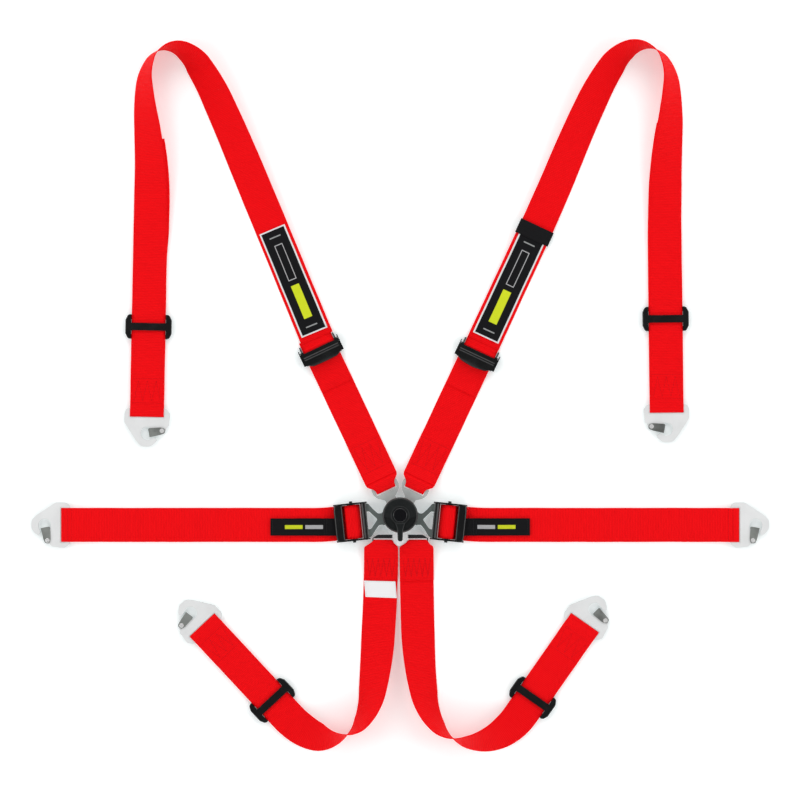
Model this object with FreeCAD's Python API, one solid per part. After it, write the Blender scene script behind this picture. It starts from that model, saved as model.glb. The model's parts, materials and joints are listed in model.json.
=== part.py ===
import FreeCAD, Part
import math
import os

# Six-point racing harness laid flat on a floor: a rotary cam-lock buckle, two shoulder arms that
# bend back beside it, two lap arms, and a crotch arm with two straps that bend outwards.
# Millimetres, +Z up, floor at z = 0. The origin is the centre of the buckle's back face.
# +Y points to the shoulder arms. "left" is -X and "right" is +X.

V = FreeCAD.Vector
X_AXIS = V(1, 0, 0)
Y_AXIS = V(0, 1, 0)
UP = V(0, 0, 1)

# ---------------------------------------------------------------- webbing
WEB_WIDTH = 50.0
WEB = 1.4                 # thickness of one layer
FLOOR_GAP = 0.1
LAYER_GAP = 0.1           # between the two legs of a loop
FOLDED_WIDTH = 30.0       # shoulder webbing gathered into its tongue
CROTCH_FOLDED_WIDTH = 27.0
STATION_STEP = 14.0       # spacing of the cross sections of a bent strap
DOUBLE = 2 * WEB + LAYER_GAP
FOLD_GAP = 0.9            # from a tongue's face to the middle of the layer folded over it

# ---------------------------------------------------------------- buckle
PIN_CIRCLE_R = 15.0
HOUSING_R = 25.2
COVER_R = 25.0
COVER_T = 3.0
HOUSING_TOP = 17.0
TONGUE_Z = 7.0
TONGUE_T = 3.0
SLOT_PLAY = 0.3           # above and below a tongue
TONGUE_END_R = 7.5
SLOT_SIDE_PLAY = 0.6
SWIVEL_SLOPE = 0.09       # the slots widen outwards by this much per side
PIN_R = 3.5
PIN_PLAY = 0.06
CAVITY_Z = 11.0
CAVITY_R = 22.4
HEAD_R = 6.0
HEAD_Z = 11.8
HEAD_T = 1.2
LATCH_LIFT = 3.6
KNOB_TURN = 35.0
RAMP_START = 17.5         # degrees from a plunger's centre to the foot of its ramp
RAMP_INNER_R = 19.0
RAMP_GAP = 0.25
SKIRT_INNER_R = 21.2
SKIRT_OUTER_R = 22.2
CAM_DISC_Z = 16.7
CAM_DISC_TOP = 17.3
SPINDLE_R = 5.0
SPINDLE_PLAY = 0.05
SPINDLE_HEAD_R = 9.0
SPINDLE_HEAD_T = 2.0
SCREW_CIRCLE_R = 20.0
SCREW_R = 1.5
SCREW_HEAD_R = 2.6
SCREW_END_Z = 10.0
SCREW_HEAD_Z = 0.5
SCREW_HEAD_T = 1.5
KNOB_R = 26.0
KNOB_Z = 17.4
KNOB_TOP = 26.4
KNOB_SEAT_Z = 23.0        # floor of the well that holds the spindle head
CAP_R = 10.2
RING_R = (10.8, 13.4)     # raised ring round the cap
RING_T = 0.6
CAP_Z = 25.3
POCKET_Z = KNOB_TOP - 2.4    # floor of the two hollows beside the lever
LEVER_REACH = 38.4
LEVER_Z = 19.4
LEVER_T = 8.2
COIL_R = 7.2
COIL_WIRE_R = 0.4

# ---------------------------------------------------------------- arms: latch angle and heading
SHOULDER_LATCH = 36.0     # degrees either side of +Y
LAP_LATCH = 18.0          # degrees below the X axis
SHOULDER_LEAN = 25.2      # degrees either side of +Y
LAP_LEAN = 6.0            # degrees below the X axis
SHOULDER_REACH = {"left": 251.0, "right": 243.5}    # latch pin to adjuster centre

# ---------------------------------------------------------------- shoulder adjuster
SH_CENTRE = 6.0           # from the adjuster's own zero to the middle of its cross bars
SH_PIVOT = (1.0, 5.0)     # pivot bar, along the strap and up
BAR_R = 3.0
LOOP_R = 4.0              # mean radius of the webbing round the pivot bar
FRAME_HALF = 25.6         # half the gap between the side plates
SIDE_PLATE_T = 2.2
LOCK_X = (10.5, 17.0)
LOCK_Z = (2.2, 8.0)
LOCK_TRAVEL_SH = 2.0
LIP_BULGE = {"left": 0.6, "right": 2.6}
COVER_Z = 10.2
SH_COVER_T = 2.4
RIDGE = (6.0, 11.0)       # rounded rib along the cover, along the strap and up
RIDGE_R = 3.2
OUTER_PLATE_Y = 30.1      # guards outside the lock bar's ends
OUTER_PLATE_T = 1.7
SH_TONGUE_BAR = (29.0, 37.0)      # the bar that holds the webbing, along x
SH_TONGUE_HALF = 20.5
SH_FOLD_END = 31.0                # along x: the webbing starts to widen
SH_CREST = 45.0                   # the fold's crease, where it is full width
SH_FOLD_FLAT = 60.0
SH_SEWN_END = 108.0               # end of the doubled length at the tongue
PIVOT_SEWN = 50.0                 # doubled length at the pivot bar
PIVOT_LOOP = 25.0

# ---------------------------------------------------------------- crotch tongue
CROTCH_BAR = (23.6, 30.4)         # the bars that hold the two straps, along the arm
CROTCH_SLOT = (19.4, 23.6)
CROTCH_HALF = 41.0
CROTCH_SLOT_Y = (11.0, 39.2)
CROTCH_FOLD_Y = 25.5              # middle of each strap at its slot
CROTCH_HEAD = (16.0, 52.0)        # doubled length at the tongue, along the route
CROTCH_HEAD_Z = 5.2
CROTCH_RAMP = (250.0, 182.0)      # from the hook: the strap rises to the slider's height

# ---------------------------------------------------------------- lap adjuster
LAP_ROD_REACH = 37.0      # latch pin to hinge rod
LAP_ROD_Z = 8.5
ROD_PLAY = 0.05
KNUCKLE_R = 4.2
HOOD_INNER_R = 4.5
HOOD_OUTER_R = 5.4
HOOD_ANGLES = (-20.0, 118.0)      # degrees from the strap's direction, upwards
KNUCKLE_HALF = (13.0, 25.0)
LAP_FRAME_END = 45.0
LAP_WRAP_END = 46.0
LAP_WEB_START = 47.0
TAB_WIDTH = 25.4
LAP_LOCK_X = (13.0, 25.0)
LAP_LOCK_Z = (3.0, 9.0)
LAP_LOCK_TRAVEL = 3.0
LAP_END_PIN_R = 2.5
WRAP_WIDTH = 2 * FRAME_HALF - 1.6 # strap inside an adjuster

# ---------------------------------------------------------------- hooks and sliders
HOOK_Z = 1.7
HOOK_T = 3.0
HOOK_LOOP = 60.0          # length of the loop that holds a hook
SLOT_X = (-3.5, -0.5)
EYE = (22.5, -1.0)
EYE_R = 9.3
GATE_PIN = (18.3, -22.5)
GATE_PIN_R = 2.0
GATE_PIN_PLAY = 0.05
LOBE_R = 4.8
GATE_SHEET = 1.2
GATE_Z = (0.2, 6.2)
SLIDER_LENGTH = 36.0
SLIDER_WIDTH = 68.0
SLIDER_BAR = 7.0                  # outer bars, along the strap
SLIDER_MIDDLE = 11.0
SLIDER_TOP = 8.5
SLIDER_BOTTOM = 0.2
SLIDER_GAP = (2.6, 5.8)           # height of the way for the strap
SLIDER_GAP_HALF = 25.6
SLIDER_STRAP_Z = 2.8
TAIL_FLAT = 225.0         # length of level strap before a shoulder hook
UPPER_WEB_START = 22.5            # from the middle of the shoulder adjuster
KEEPER_LIFT = 1.7                 # the strap rides up over the keeper band's lower side
KEEPER_SPAN = (190.0, 212.0)
PATCH_SPAN = (30.0, 194.0)
PATCH_WIDTH = 41.0
PATCH_GAP = 0.15

# ---------------------------------------------------------------- routes of the bent straps
# Each row is an arc seen from above: its length, the turn to the left in degrees, and the
# roll of the strap about its own line in degrees, positive when its left edge rises.
ROUTES = {
    "shoulder_left": ((-114.2, 239.9), 112.4, (
        (303, 0, -16), (96, 2, -10), (60, 9, -14), (32, 30, -22), (28, 46, -28), (24, 42, -16),
        (38, 28, -16), (60, 8, -20), (90, -8, -24), (100, -0.5, -14), (240, 0, 0))),
    "shoulder_right": ((112.9, 232.6), 65.2, (
        (201, 0, 8), (120, 2.5, 8), (92, -3, 10), (60, -9, 14), (34, -29, 22), (30, -44, 28),
        (26, -42, 16), (40, -29, 16), (60, -8, 20), (90, 5, 24), (100, 2, 14), (234, 0, 0))),
    "crotch_right": ((24.0, -44.5), -90.0, (
        (133, 2, -12), (86, 8, -26), (30, 16, -16), (24, 14, -14), (22, 22, -22), (20, 19, -22),
        (30, 22, -24), (35, 24, -24), (35, 18, -20), (163, 0, 0))),
    "crotch_left": ((-28.0, -44.5), -90.0, (
        (53, -1.5, 0), (90, -2.5, 12), (74, -5, 26), (28, -14, 16), (22, -14, 14), (20, -24, 22),
        (20, -18, 26), (24, -24, 34), (30, -22, 20), (30, -12, 10), (183, 0, 0))),
    "lap": ((0.0, 0.0), 0.0, ((30, LAP_LEAN, 0), (372, 0, 0))),
}
SHOULDER_UNDER = {"left": 407.0, "right": 424.0}     # length of the returned under layer
CROTCH_UNDER = {"left": 195.0, "right": 176.0}
SLIDER_FROM_HOOK = {"shoulder_left": 134.0, "shoulder_right": 139.5,
                    "crotch_left": 153.0, "crotch_right": 136.0}


# ---------------------------------------------------------------- general shapes
def route_length(route):
    """Length of a whole route."""
    return sum(row[0] for row in ROUTES[route][2])


def route_point(route, distance):
    """Place on a route: x, y, heading and roll in degrees, at a distance from its start."""
    (x, y), heading, rows = ROUTES[route]
    heading = math.radians(heading)
    roll = 0.0
    left = distance
    for length, turn, roll_change in rows:
        part = min(left, length)
        bend = math.radians(turn) / length
        if abs(bend) < 1e-9:
            x += part * math.cos(heading)
            y += part * math.sin(heading)
        else:
            x += (math.sin(heading + bend * part) - math.sin(heading)) / bend
            y -= (math.cos(heading + bend * part) - math.cos(heading)) / bend
        heading += bend * part
        roll += roll_change * part / length
        left -= part
        if left <= 0:
            break
    return x, y, math.degrees(heading), roll


def level(profile, distance):
    """Height read from a list of (distance, height) points."""
    for (d0, z0), (d1, z1) in zip(profile, profile[1:]):
        if distance <= d1:
            return z0 + (z1 - z0) * (distance - d0) / (d1 - d0)
    return profile[-1][1]


def section(centre, heading, roll, width, thickness):
    """Corners of the rectangular cross section of a strap."""
    h = math.radians(heading)
    r = math.radians(roll)
    side = V(-math.sin(h), math.cos(h), 0)
    across = side * math.cos(r) + UP * math.sin(r)
    normal = UP * math.cos(r) - side * math.sin(r)
    a = across * (width / 2)
    n = normal * (thickness / 2)
    return [centre + a + n, centre - a + n, centre - a - n, centre + a - n]


def skinned(sections):
    """Solid through a row of four-cornered sections, joined corner to corner."""
    faces = []
    for near, far in zip(sections, sections[1:]):
        for i in range(4):
            j = (i + 1) % 4
            faces.append(Part.makeRuledSurface(Part.makeLine(near[i], near[j]),
                                               Part.makeLine(far[i], far[j])))
    for end in (sections[0], sections[-1]):
        faces.append(Part.Face(Part.makePolygon(end + end[:1])))
    shell = Part.Shell(faces)
    shell.sewShape()
    solid = Part.Solid(shell)
    if solid.Volume < 0:
        solid.reverse()
    return solid


def band(route, start, end, base, thickness, width=WEB_WIDTH):
    """Strap along a route whose lowest edge follows the height profile base."""
    count = max(1, math.ceil((end - start) / STATION_STEP))
    sections = []
    for i in range(count + 1):
        s = start + (end - start) * i / count
        x, y, heading, roll = route_point(route, s)
        r = math.radians(roll)
        lift = abs(math.sin(r)) * width / 2 + abs(math.cos(r)) * thickness / 2
        sections.append(section(V(x, y, level(base, s) + lift), heading, roll, width, thickness))
    return skinned(sections)


def tapered(stations, thickness):
    """Strip through (x, y, z, width) stations that face along x."""
    return skinned([section(V(x, y, z), 0, 0, width, thickness) for x, y, z, width in stations])


def ribbon(points, width, thickness=WEB):
    """Folded strip: a centre line of (x, z) points, mitred, of the given width across y."""
    sides = ([], [])
    for i, (x, z) in enumerate(points):
        before = points[max(i - 1, 0)]
        after = points[min(i + 1, len(points) - 1)]
        a = V(x - before[0], 0, z - before[1])
        b = V(after[0] - x, 0, after[1] - z)
        a = b if a.Length == 0 else a
        b = a if b.Length == 0 else b
        a.normalize()
        b.normalize()
        mean = a + b
        mean.normalize()
        normal = V(-mean.z, 0, mean.x) * (thickness / 2 / mean.dot(a))
        sides[0].append(V(x, -width / 2, z) + normal)
        sides[1].append(V(x, -width / 2, z) - normal)
    outline = sides[0] + sides[1][::-1]
    return Part.Face(Part.makePolygon(outline + outline[:1])).extrude(Y_AXIS * width)


def rounded(corners, z, height):
    """Flat plate from (x, y, corner radius) points, with round corners."""
    points = [V(x, y, z) for x, y, radius in corners]
    ends = []
    for i, (x, y, radius) in enumerate(corners):
        p = points[i]
        back = points[i - 1] - p
        ahead = points[(i + 1) % len(points)] - p
        back.normalize()
        ahead.normalize()
        half = back.getAngle(ahead) / 2
        reach = radius / math.tan(half) if radius else 0
        bisector = back + ahead
        if radius:
            bisector.normalize()
            middle = p + bisector * (radius / math.sin(half) - radius)
        else:
            middle = p
        ends.append((p + back * reach, middle, p + ahead * reach, radius))
    edges = []
    for i, (start, middle, end, radius) in enumerate(ends):
        if radius:
            edges.append(Part.Arc(start, middle, end).toShape())
        following = ends[(i + 1) % len(ends)][0]
        if (following - end).Length > 1e-6:
            edges.append(Part.makeLine(end, following))
    return Part.Face(Part.Wire(edges)).extrude(UP * height)


def mirrored_half(half):
    """Corner list of an outline that is symmetric about x, from its +y half."""
    return half + [(x, -y, radius) for x, y, radius in reversed(half)]


def disc(radius, z, height, x=0.0, y=0.0):
    """Upright cylinder."""
    return Part.makeCylinder(radius, height, V(x, y, z), UP)


def cross_bar(radius, x, z, half):
    """Round bar across y."""
    return Part.makeCylinder(radius, 2 * half, V(x, -half, z), Y_AXIS)


def oval_bar(x0, x1, z0, z1, half):
    """Bar across y whose section is rounded at both x ends."""
    radius = (z1 - z0) / 2
    middle = Part.makeBox(x1 - x0 - 2 * radius, 2 * half, z1 - z0, V(x0 + radius, -half, z0))
    ends = [cross_bar(radius, x, z0 + radius, half) for x in (x0 + radius, x1 - radius)]
    return middle.multiFuse(ends).removeSplitter()


def block(x0, x1, y0, y1, z0, z1):
    """Box from its limits."""
    return Part.makeBox(x1 - x0, y1 - y0, z1 - z0, V(x0, y0, z0))


def softened(shape, radius, choose):
    """Fillet the edges that choose picks."""
    edges = [edge for edge in shape.Edges if choose(edge)]
    return shape.makeFillet(radius, edges)


def flat_at(z):
    """Edge test: the whole edge lies at height z."""
    return lambda edge: (abs(edge.BoundBox.ZMin - z) < 1e-4 and abs(edge.BoundBox.ZMax - z) < 1e-4)


def edge_rounded(plate, radius=0.5):
    """Round off the upper and lower rims of a flat plate."""
    box = plate.BoundBox
    low, high = flat_at(box.ZMin), flat_at(box.ZMax)
    return softened(plate, radius, lambda edge: low(edge) or high(edge))


def placed(shape, x, y, heading, z=0.0):
    """Turn about Z and move."""
    moved = shape.copy()
    moved.rotate(V(0, 0, 0), UP, heading)
    moved.translate(V(x, y, z))
    return moved


def flipped(shape):
    """Mirror across the local x axis."""
    return shape.mirror(V(0, 0, 0), Y_AXIS)


def group(shapes):
    """Separate solids kept together as one node."""
    solids = []
    for shape in shapes:
        solids.extend(shape.Solids)
    return Part.makeCompound(solids)


def polar(radius, angle):
    """x and y of a point on a circle about the origin."""
    a = math.radians(angle)
    return radius * math.cos(a), radius * math.sin(a)


# ---------------------------------------------------------------- arms: latch pins and headings
ARMS = {
    "shoulder_right": (90 - SHOULDER_LATCH, 90 - SHOULDER_LEAN),
    "shoulder_left": (90 + SHOULDER_LATCH, 90 + SHOULDER_LEAN),
    "lap_left": (180 + LAP_LATCH, 180 + LAP_LEAN),
    "crotch": (270, 270),
    "lap_right": (-LAP_LATCH, -LAP_LEAN),
}
RELEASED_ARMS = ("shoulder_right", "shoulder_left", "crotch", "lap_right")


def on_arm(shape, arm):
    """Move a shape from an arm's own axes (x outward from its latch pin) to the buckle."""
    angle, heading = ARMS[arm]
    x, y = polar(PIN_CIRCLE_R, angle)
    return placed(shape, x, y, heading)


# ---------------------------------------------------------------- buckle
def latch_slot():
    """Space in the housing for one tongue, widening outwards."""
    near = TONGUE_END_R + SLOT_SIDE_PLAY
    far = near + 2.0 + SWIVEL_SLOPE * HOUSING_R
    z = TONGUE_Z - SLOT_PLAY
    height = TONGUE_T + 2 * SLOT_PLAY
    mouth = rounded(mirrored_half([(0, near, 0), (HOUSING_R / 2, far, 0), (HOUSING_R, far, 0)]),
                    z, height)
    return mouth.fuse(disc(near, z, height))


def buckle_housing():
    body = disc(HOUSING_R, COVER_T, HOUSING_TOP - COVER_T)
    body = softened(body, 1.2, flat_at(HOUSING_TOP))
    cuts = [disc(CAVITY_R, CAVITY_Z, HOUSING_TOP), disc(SPINDLE_R, 0, HOUSING_TOP)]
    for arm, (angle, heading) in ARMS.items():
        cuts.append(on_arm(latch_slot(), arm))
        radius = PIN_R + PIN_PLAY if arm in RELEASED_ARMS else PIN_R
        x, y = polar(PIN_CIRCLE_R, angle)
        cuts.append(disc(radius, COVER_T, CAVITY_Z, x, y))
    for x, y in screw_places():
        cuts.append(disc(SCREW_R, 0, SCREW_END_Z, x, y))
    for cut in cuts:
        body = body.cut(cut)
    return body


def screw_places():
    """Five cover screws, midway between the latches."""
    return [polar(SCREW_CIRCLE_R, 18 + 72 * i) for i in range(5)]


def back_cover():
    cover = softened(disc(COVER_R, 0, COVER_T), 0.8, flat_at(0))
    for x, y in screw_places():
        cover = cover.cut(disc(SCREW_R, 0, COVER_T, x, y))
        cover = cover.cut(disc(SCREW_HEAD_R + 0.2, 0, SCREW_HEAD_Z + SCREW_HEAD_T, x, y))
    x, y = polar(PIN_CIRCLE_R, ARMS["lap_left"][0])
    return cover.fuse(disc(PIN_R, COVER_T, CAVITY_Z - COVER_T, x, y))


def screws():
    parts = []
    for x, y in screw_places():
        head = disc(SCREW_HEAD_R, SCREW_HEAD_Z, SCREW_HEAD_T, x, y)
        socket = disc(1.1, SCREW_HEAD_Z, 0.9, x, y)
        shank = disc(SCREW_R, SCREW_HEAD_Z + SCREW_HEAD_T, SCREW_END_Z - 2.0, x, y)
        parts.append(head.cut(socket).fuse(shank))
    return group(parts)


def spindle():
    shaft = disc(SPINDLE_R, COVER_T, KNOB_SEAT_Z + 0.1 - COVER_T)
    head = disc(SPINDLE_HEAD_R, KNOB_SEAT_Z + 0.1, SPINDLE_HEAD_T)
    drive = rounded([(3.0 * math.cos(math.radians(60 * i)), 3.0 * math.sin(math.radians(60 * i)), 0)
                     for i in range(6)], KNOB_SEAT_Z + 0.6, SPINDLE_HEAD_T)
    return shaft.fuse(head).cut(drive)


def return_spring():
    """Coil round the spindle, under the cam disc."""
    turns = 4
    pitch = 1.1
    path = Part.makeHelix(pitch, turns * pitch, COIL_R)
    ring = Part.Wire(Part.makeCircle(COIL_WIRE_R, V(COIL_R, 0, 0), Y_AXIS))
    coil = Part.Wire(path).makePipeShell([ring], True, True)
    coil.translate(V(0, 0, CAVITY_Z + COIL_WIRE_R + 0.1))
    return coil


def leaf_pocket(side):
    """One of the two shallow leaf-shaped hollows beside the lever."""
    lens = disc(24.0, POCKET_Z, 6, side * 27.8, -25.4)
    lens = lens.common(disc(KNOB_R - 2.2, POCKET_Z, 6))
    keep_out = disc(CAP_R + 3.4, POCKET_Z, 6)
    lever_side = block(-6.5, 6.5, -LEVER_REACH, 0, POCKET_Z, KNOB_TOP + 4)
    return lens.cut(keep_out).cut(lever_side)


def rotary_knob():
    profile = [V(SPINDLE_R + SPINDLE_PLAY, 0, KNOB_Z), V(KNOB_R, 0, KNOB_Z), V(KNOB_R, 0, 22.5)]
    shoulder = [V(KNOB_R - 2.6, 0, 25.6)]
    ring_inner, ring_outer = RING_R
    inner = [V(ring_outer, 0, KNOB_TOP), V(ring_outer - RING_T, 0, KNOB_TOP + RING_T),
             V(ring_inner + RING_T, 0, KNOB_TOP + RING_T), V(ring_inner, 0, KNOB_TOP),
             V(SPINDLE_R + SPINDLE_PLAY, 0, KNOB_TOP)]
    edges = [Part.makeLine(profile[0], profile[1]), Part.makeLine(profile[1], profile[2]),
             Part.Arc(profile[2], V(KNOB_R - 0.75, 0, 24.7), shoulder[0]).toShape()]
    rest = shoulder + inner + profile[:1]
    edges += [Part.makeLine(a, b) for a, b in zip(rest, rest[1:])]
    body = Part.Face(Part.Wire(edges)).revolve(V(0, 0, 0), UP, 360)
    lever = rounded([(-7.5, -11.0, 0), (-4.2, -21.0, 5), (-3.7, -LEVER_REACH, 3.6),
                     (3.7, -LEVER_REACH, 3.6), (4.2, -21.0, 5), (7.5, -11.0, 0)], LEVER_Z, LEVER_T)
    lever = softened(lever, 1.4, flat_at(LEVER_Z + LEVER_T))
    lever = lever.cut(disc(CAP_R + 1.0, 0, 40))
    body = body.cut(leaf_pocket(-1)).cut(leaf_pocket(1)).fuse(lever)
    body = body.cut(disc(SPINDLE_HEAD_R + 0.3, KNOB_SEAT_Z, 20))
    return body.cut(disc(CAP_R, CAP_Z, 20))


def knob_cap():
    cap = disc(CAP_R, CAP_Z, 2.3)
    return softened(cap, 0.9, flat_at(CAP_Z + 2.3))


def ramp(angle):
    """Wedge for one plunger head: its top climbs by the latch lift over the knob's turn."""
    foot = CAVITY_Z + 0.1
    wires = []
    for i in range(8):
        a = math.radians(angle - RAMP_START - KNOB_TURN * i / 7)
        top = HEAD_Z - RAMP_GAP + LATCH_LIFT * i / 7
        corners = [V(r * math.cos(a), r * math.sin(a), z) for r, z in
                   ((RAMP_INNER_R, foot), (SKIRT_OUTER_R, foot), (SKIRT_OUTER_R, top),
                    (RAMP_INNER_R, top), (RAMP_INNER_R, foot))]
        wires.append(Part.makePolygon(corners))
    return Part.makeLoft(wires, True, True)


def cam_plate():
    """Disc under the knob with a skirt that carries the four ramps."""
    plate = disc(SKIRT_OUTER_R, CAM_DISC_Z, CAM_DISC_TOP - CAM_DISC_Z)
    plate = plate.cut(disc(SPINDLE_R + SPINDLE_PLAY, 0, KNOB_Z))
    skirt = disc(SKIRT_OUTER_R, CAVITY_Z + 0.1, CAM_DISC_TOP - CAVITY_Z - 0.1)
    skirt = skirt.cut(disc(SKIRT_INNER_R, 0, KNOB_Z))
    return plate.multiFuse([skirt] + [ramp(ARMS[arm][0]) for arm in RELEASED_ARMS])


def latch_plungers():
    parts = []
    for arm in RELEASED_ARMS:
        x, y = polar(PIN_CIRCLE_R, ARMS[arm][0])
        tip = TONGUE_Z - 0.2
        pin = softened(disc(PIN_R, tip, HEAD_Z - tip, x, y), 0.8, flat_at(tip))
        parts.append(pin.fuse(disc(HEAD_R, HEAD_Z, HEAD_T, x, y)))
    return group(parts)


# ---------------------------------------------------------------- tongues
def latch_end(neck_x, neck_half):
    """Round end of a tongue with its latch hole, and the neck out to neck_x."""
    neck = rounded(mirrored_half([(0, TONGUE_END_R, 0), (neck_x, neck_half, 0)]),
                   TONGUE_Z, TONGUE_T)
    return neck.fuse(disc(TONGUE_END_R, TONGUE_Z, TONGUE_T))


def latch_hole():
    return disc(PIN_R + PIN_PLAY, 0, 20)


def shoulder_tongue():
    bar0, bar1 = SH_TONGUE_BAR
    plate = rounded(mirrored_half([(14.0, 8.5, 0), (19.0, 15.0, 3), (22.5, 18.3, 3),
                                   (28.0, SH_TONGUE_HALF, 3), (bar1, SH_TONGUE_HALF, 3)]),
                    TONGUE_Z, TONGUE_T)
    slot_half = FOLDED_WIDTH / 2 + 1.0
    slot = rounded(mirrored_half([(bar0 - 4.5, slot_half, 1.5), (bar0, slot_half, 1.5)]), 0, 20)
    body = latch_end(16.0, 8.5).fuse(plate)
    return edge_rounded(body.cut(slot).cut(latch_hole()).removeSplitter())


def lap_tongue():
    rod = LAP_ROD_REACH
    near, far = KNUCKLE_HALF
    fork = rounded(mirrored_half([(11.0, 8.5, 0), (17.5, 8.2, 5), (24.0, 15.5, 6),
                                  (rod - 6.0, far, 5), (rod, far, 0)]), TONGUE_Z, TONGUE_T)
    window = rounded([(19.0, 0, 2.5), (rod - 7.0, near, 4.0), (rod + 1.0, near, 0),
                      (rod + 1.0, -near, 0), (rod - 7.0, -near, 4.0)], 0, 20)
    body = latch_end(12.0, 9.6).fuse(fork).cut(window)
    bore = cross_bar(BAR_R + ROD_PLAY, rod, LAP_ROD_Z, 40)
    for side in (-1, 1):
        y0 = min(side * near, side * far)
        knuckle = Part.makeCylinder(KNUCKLE_R, far - near, V(rod, y0, LAP_ROD_Z), Y_AXIS)
        body = body.fuse(knuckle)
    return body.cut(bore).cut(latch_hole())


def crotch_tongue():
    plate = rounded(mirrored_half([(14.0, CROTCH_HALF - 8, 2), (19.0, CROTCH_HALF, 2),
                                   (CROTCH_BAR[1], CROTCH_HALF, 3)]), TONGUE_Z, TONGUE_T)
    body = latch_end(16.0, 9.0).fuse(plate)
    for side in (-1, 1):
        y0, y1 = sorted((side * CROTCH_SLOT_Y[0], side * CROTCH_SLOT_Y[1]))
        body = body.cut(block(CROTCH_SLOT[0], CROTCH_SLOT[1], y0, y1, 0, 20))
    return edge_rounded(body.cut(latch_hole()).removeSplitter())


# ---------------------------------------------------------------- webbing between parts
def shoulder_lower_web(side):
    """Strap from the tongue to the pivot bar of the adjuster, looped at both ends."""
    pivot = SHOULDER_REACH[side] - SH_CENTRE + SH_PIVOT[0]
    pivot_z = SH_PIVOT[1]
    slot_x = SH_TONGUE_BAR[0] - 2.0
    over = TONGUE_Z + TONGUE_T + FOLD_GAP
    under = TONGUE_Z - FOLD_GAP
    fold = ribbon([(SH_FOLD_END, over), (slot_x, over), (slot_x, under), (SH_FOLD_END, under)],
                  FOLDED_WIDTH)
    top = tapered([(SH_FOLD_END, 0, over, FOLDED_WIDTH), (38.5, 0, over, 41.0),
                   (SH_CREST, 0, over - 1.6, WEB_WIDTH), (SH_FOLD_FLAT, 0, 5.1, WEB_WIDTH)], WEB)
    bottom = tapered([(SH_FOLD_END, 0, under, FOLDED_WIDTH), (38.5, 0, under, 41.0),
                      (SH_CREST, 0, under - 0.6, WEB_WIDTH), (SH_FOLD_FLAT, 0, 3.6, WEB_WIDTH)], WEB)
    middle = FLOOR_GAP + DOUBLE / 2
    low = FLOOR_GAP + WEB / 2
    doubled = ribbon([(SH_FOLD_FLAT, 4.35), (SH_FOLD_FLAT + 22, middle), (SH_SEWN_END, middle)],
                     WEB_WIDTH, DOUBLE)
    single = ribbon([(SH_SEWN_END, low), (pivot - PIVOT_SEWN, low)], WEB_WIDTH)
    joined = ribbon([(pivot - PIVOT_SEWN, middle), (pivot - PIVOT_LOOP, middle)], WEB_WIDTH, DOUBLE)
    arc = [(pivot + LOOP_R * math.cos(math.radians(a)), pivot_z + LOOP_R * math.sin(math.radians(a)))
           for a in range(105, -91, -39)]
    loop = ribbon([(pivot - PIVOT_LOOP, low + WEB + LAYER_GAP)] + arc
                  + [(pivot - PIVOT_LOOP / 2, low), (pivot - PIVOT_LOOP, low)], WEB_WIDTH)
    return group([fold, top, bottom, doubled, single, joined, loop])


def hook_loop(tail_top):
    """Strap end through a hook's slot; tail_top is the top of the joined layers behind it."""
    bar_side = SLOT_X[0] + 1.3
    over = HOOK_Z + HOOK_T + 0.2 + WEB / 2
    under = FLOOR_GAP + WEB / 2
    back = -HOOK_LOOP
    upper_end = tail_top - WEB / 2
    lower_end = upper_end - WEB - LAYER_GAP
    lower = [(-17.0, under)] if lower_end > under + 0.1 else []
    return ribbon([(back, upper_end), (-17.0, over), (bar_side, over), (bar_side, under)]
                  + lower + [(back, lower_end)], WEB_WIDTH)


def at_route_end(shape, route, back=0.0):
    """Place a local shape at a distance back from the end of a route."""
    x, y, heading, roll = route_point(route, route_length(route) - back)
    return placed(shape, x, y, heading)


def shoulder_profile(side):
    """Height of the strap's lowest edge along a shoulder route."""
    total = route_length("shoulder_" + side)
    low = FLOOR_GAP
    start, end = KEEPER_SPAN
    lift = KEEPER_LIFT if side == "right" else 0.0
    return [(0, low), (start - 50, low), (start, low + lift), (end, low + lift), (end + 60, low),
            (total - 300, low), (total - TAIL_FLAT, SLIDER_STRAP_Z), (total, SLIDER_STRAP_Z)]


def shoulder_upper_web(side):
    """Strap from outside the adjuster to the hook, with its returned under layer."""
    route = "shoulder_" + side
    total = route_length(route)
    joint = total - SHOULDER_UNDER[side]
    profile = shoulder_profile(side)
    single = band(route, UPPER_WEB_START, joint, profile, WEB)
    doubled = band(route, joint, total - HOOK_LOOP, profile, DOUBLE)
    loop = at_route_end(hook_loop(SLIDER_STRAP_Z + DOUBLE), route)
    return group([single, doubled, loop])


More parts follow.
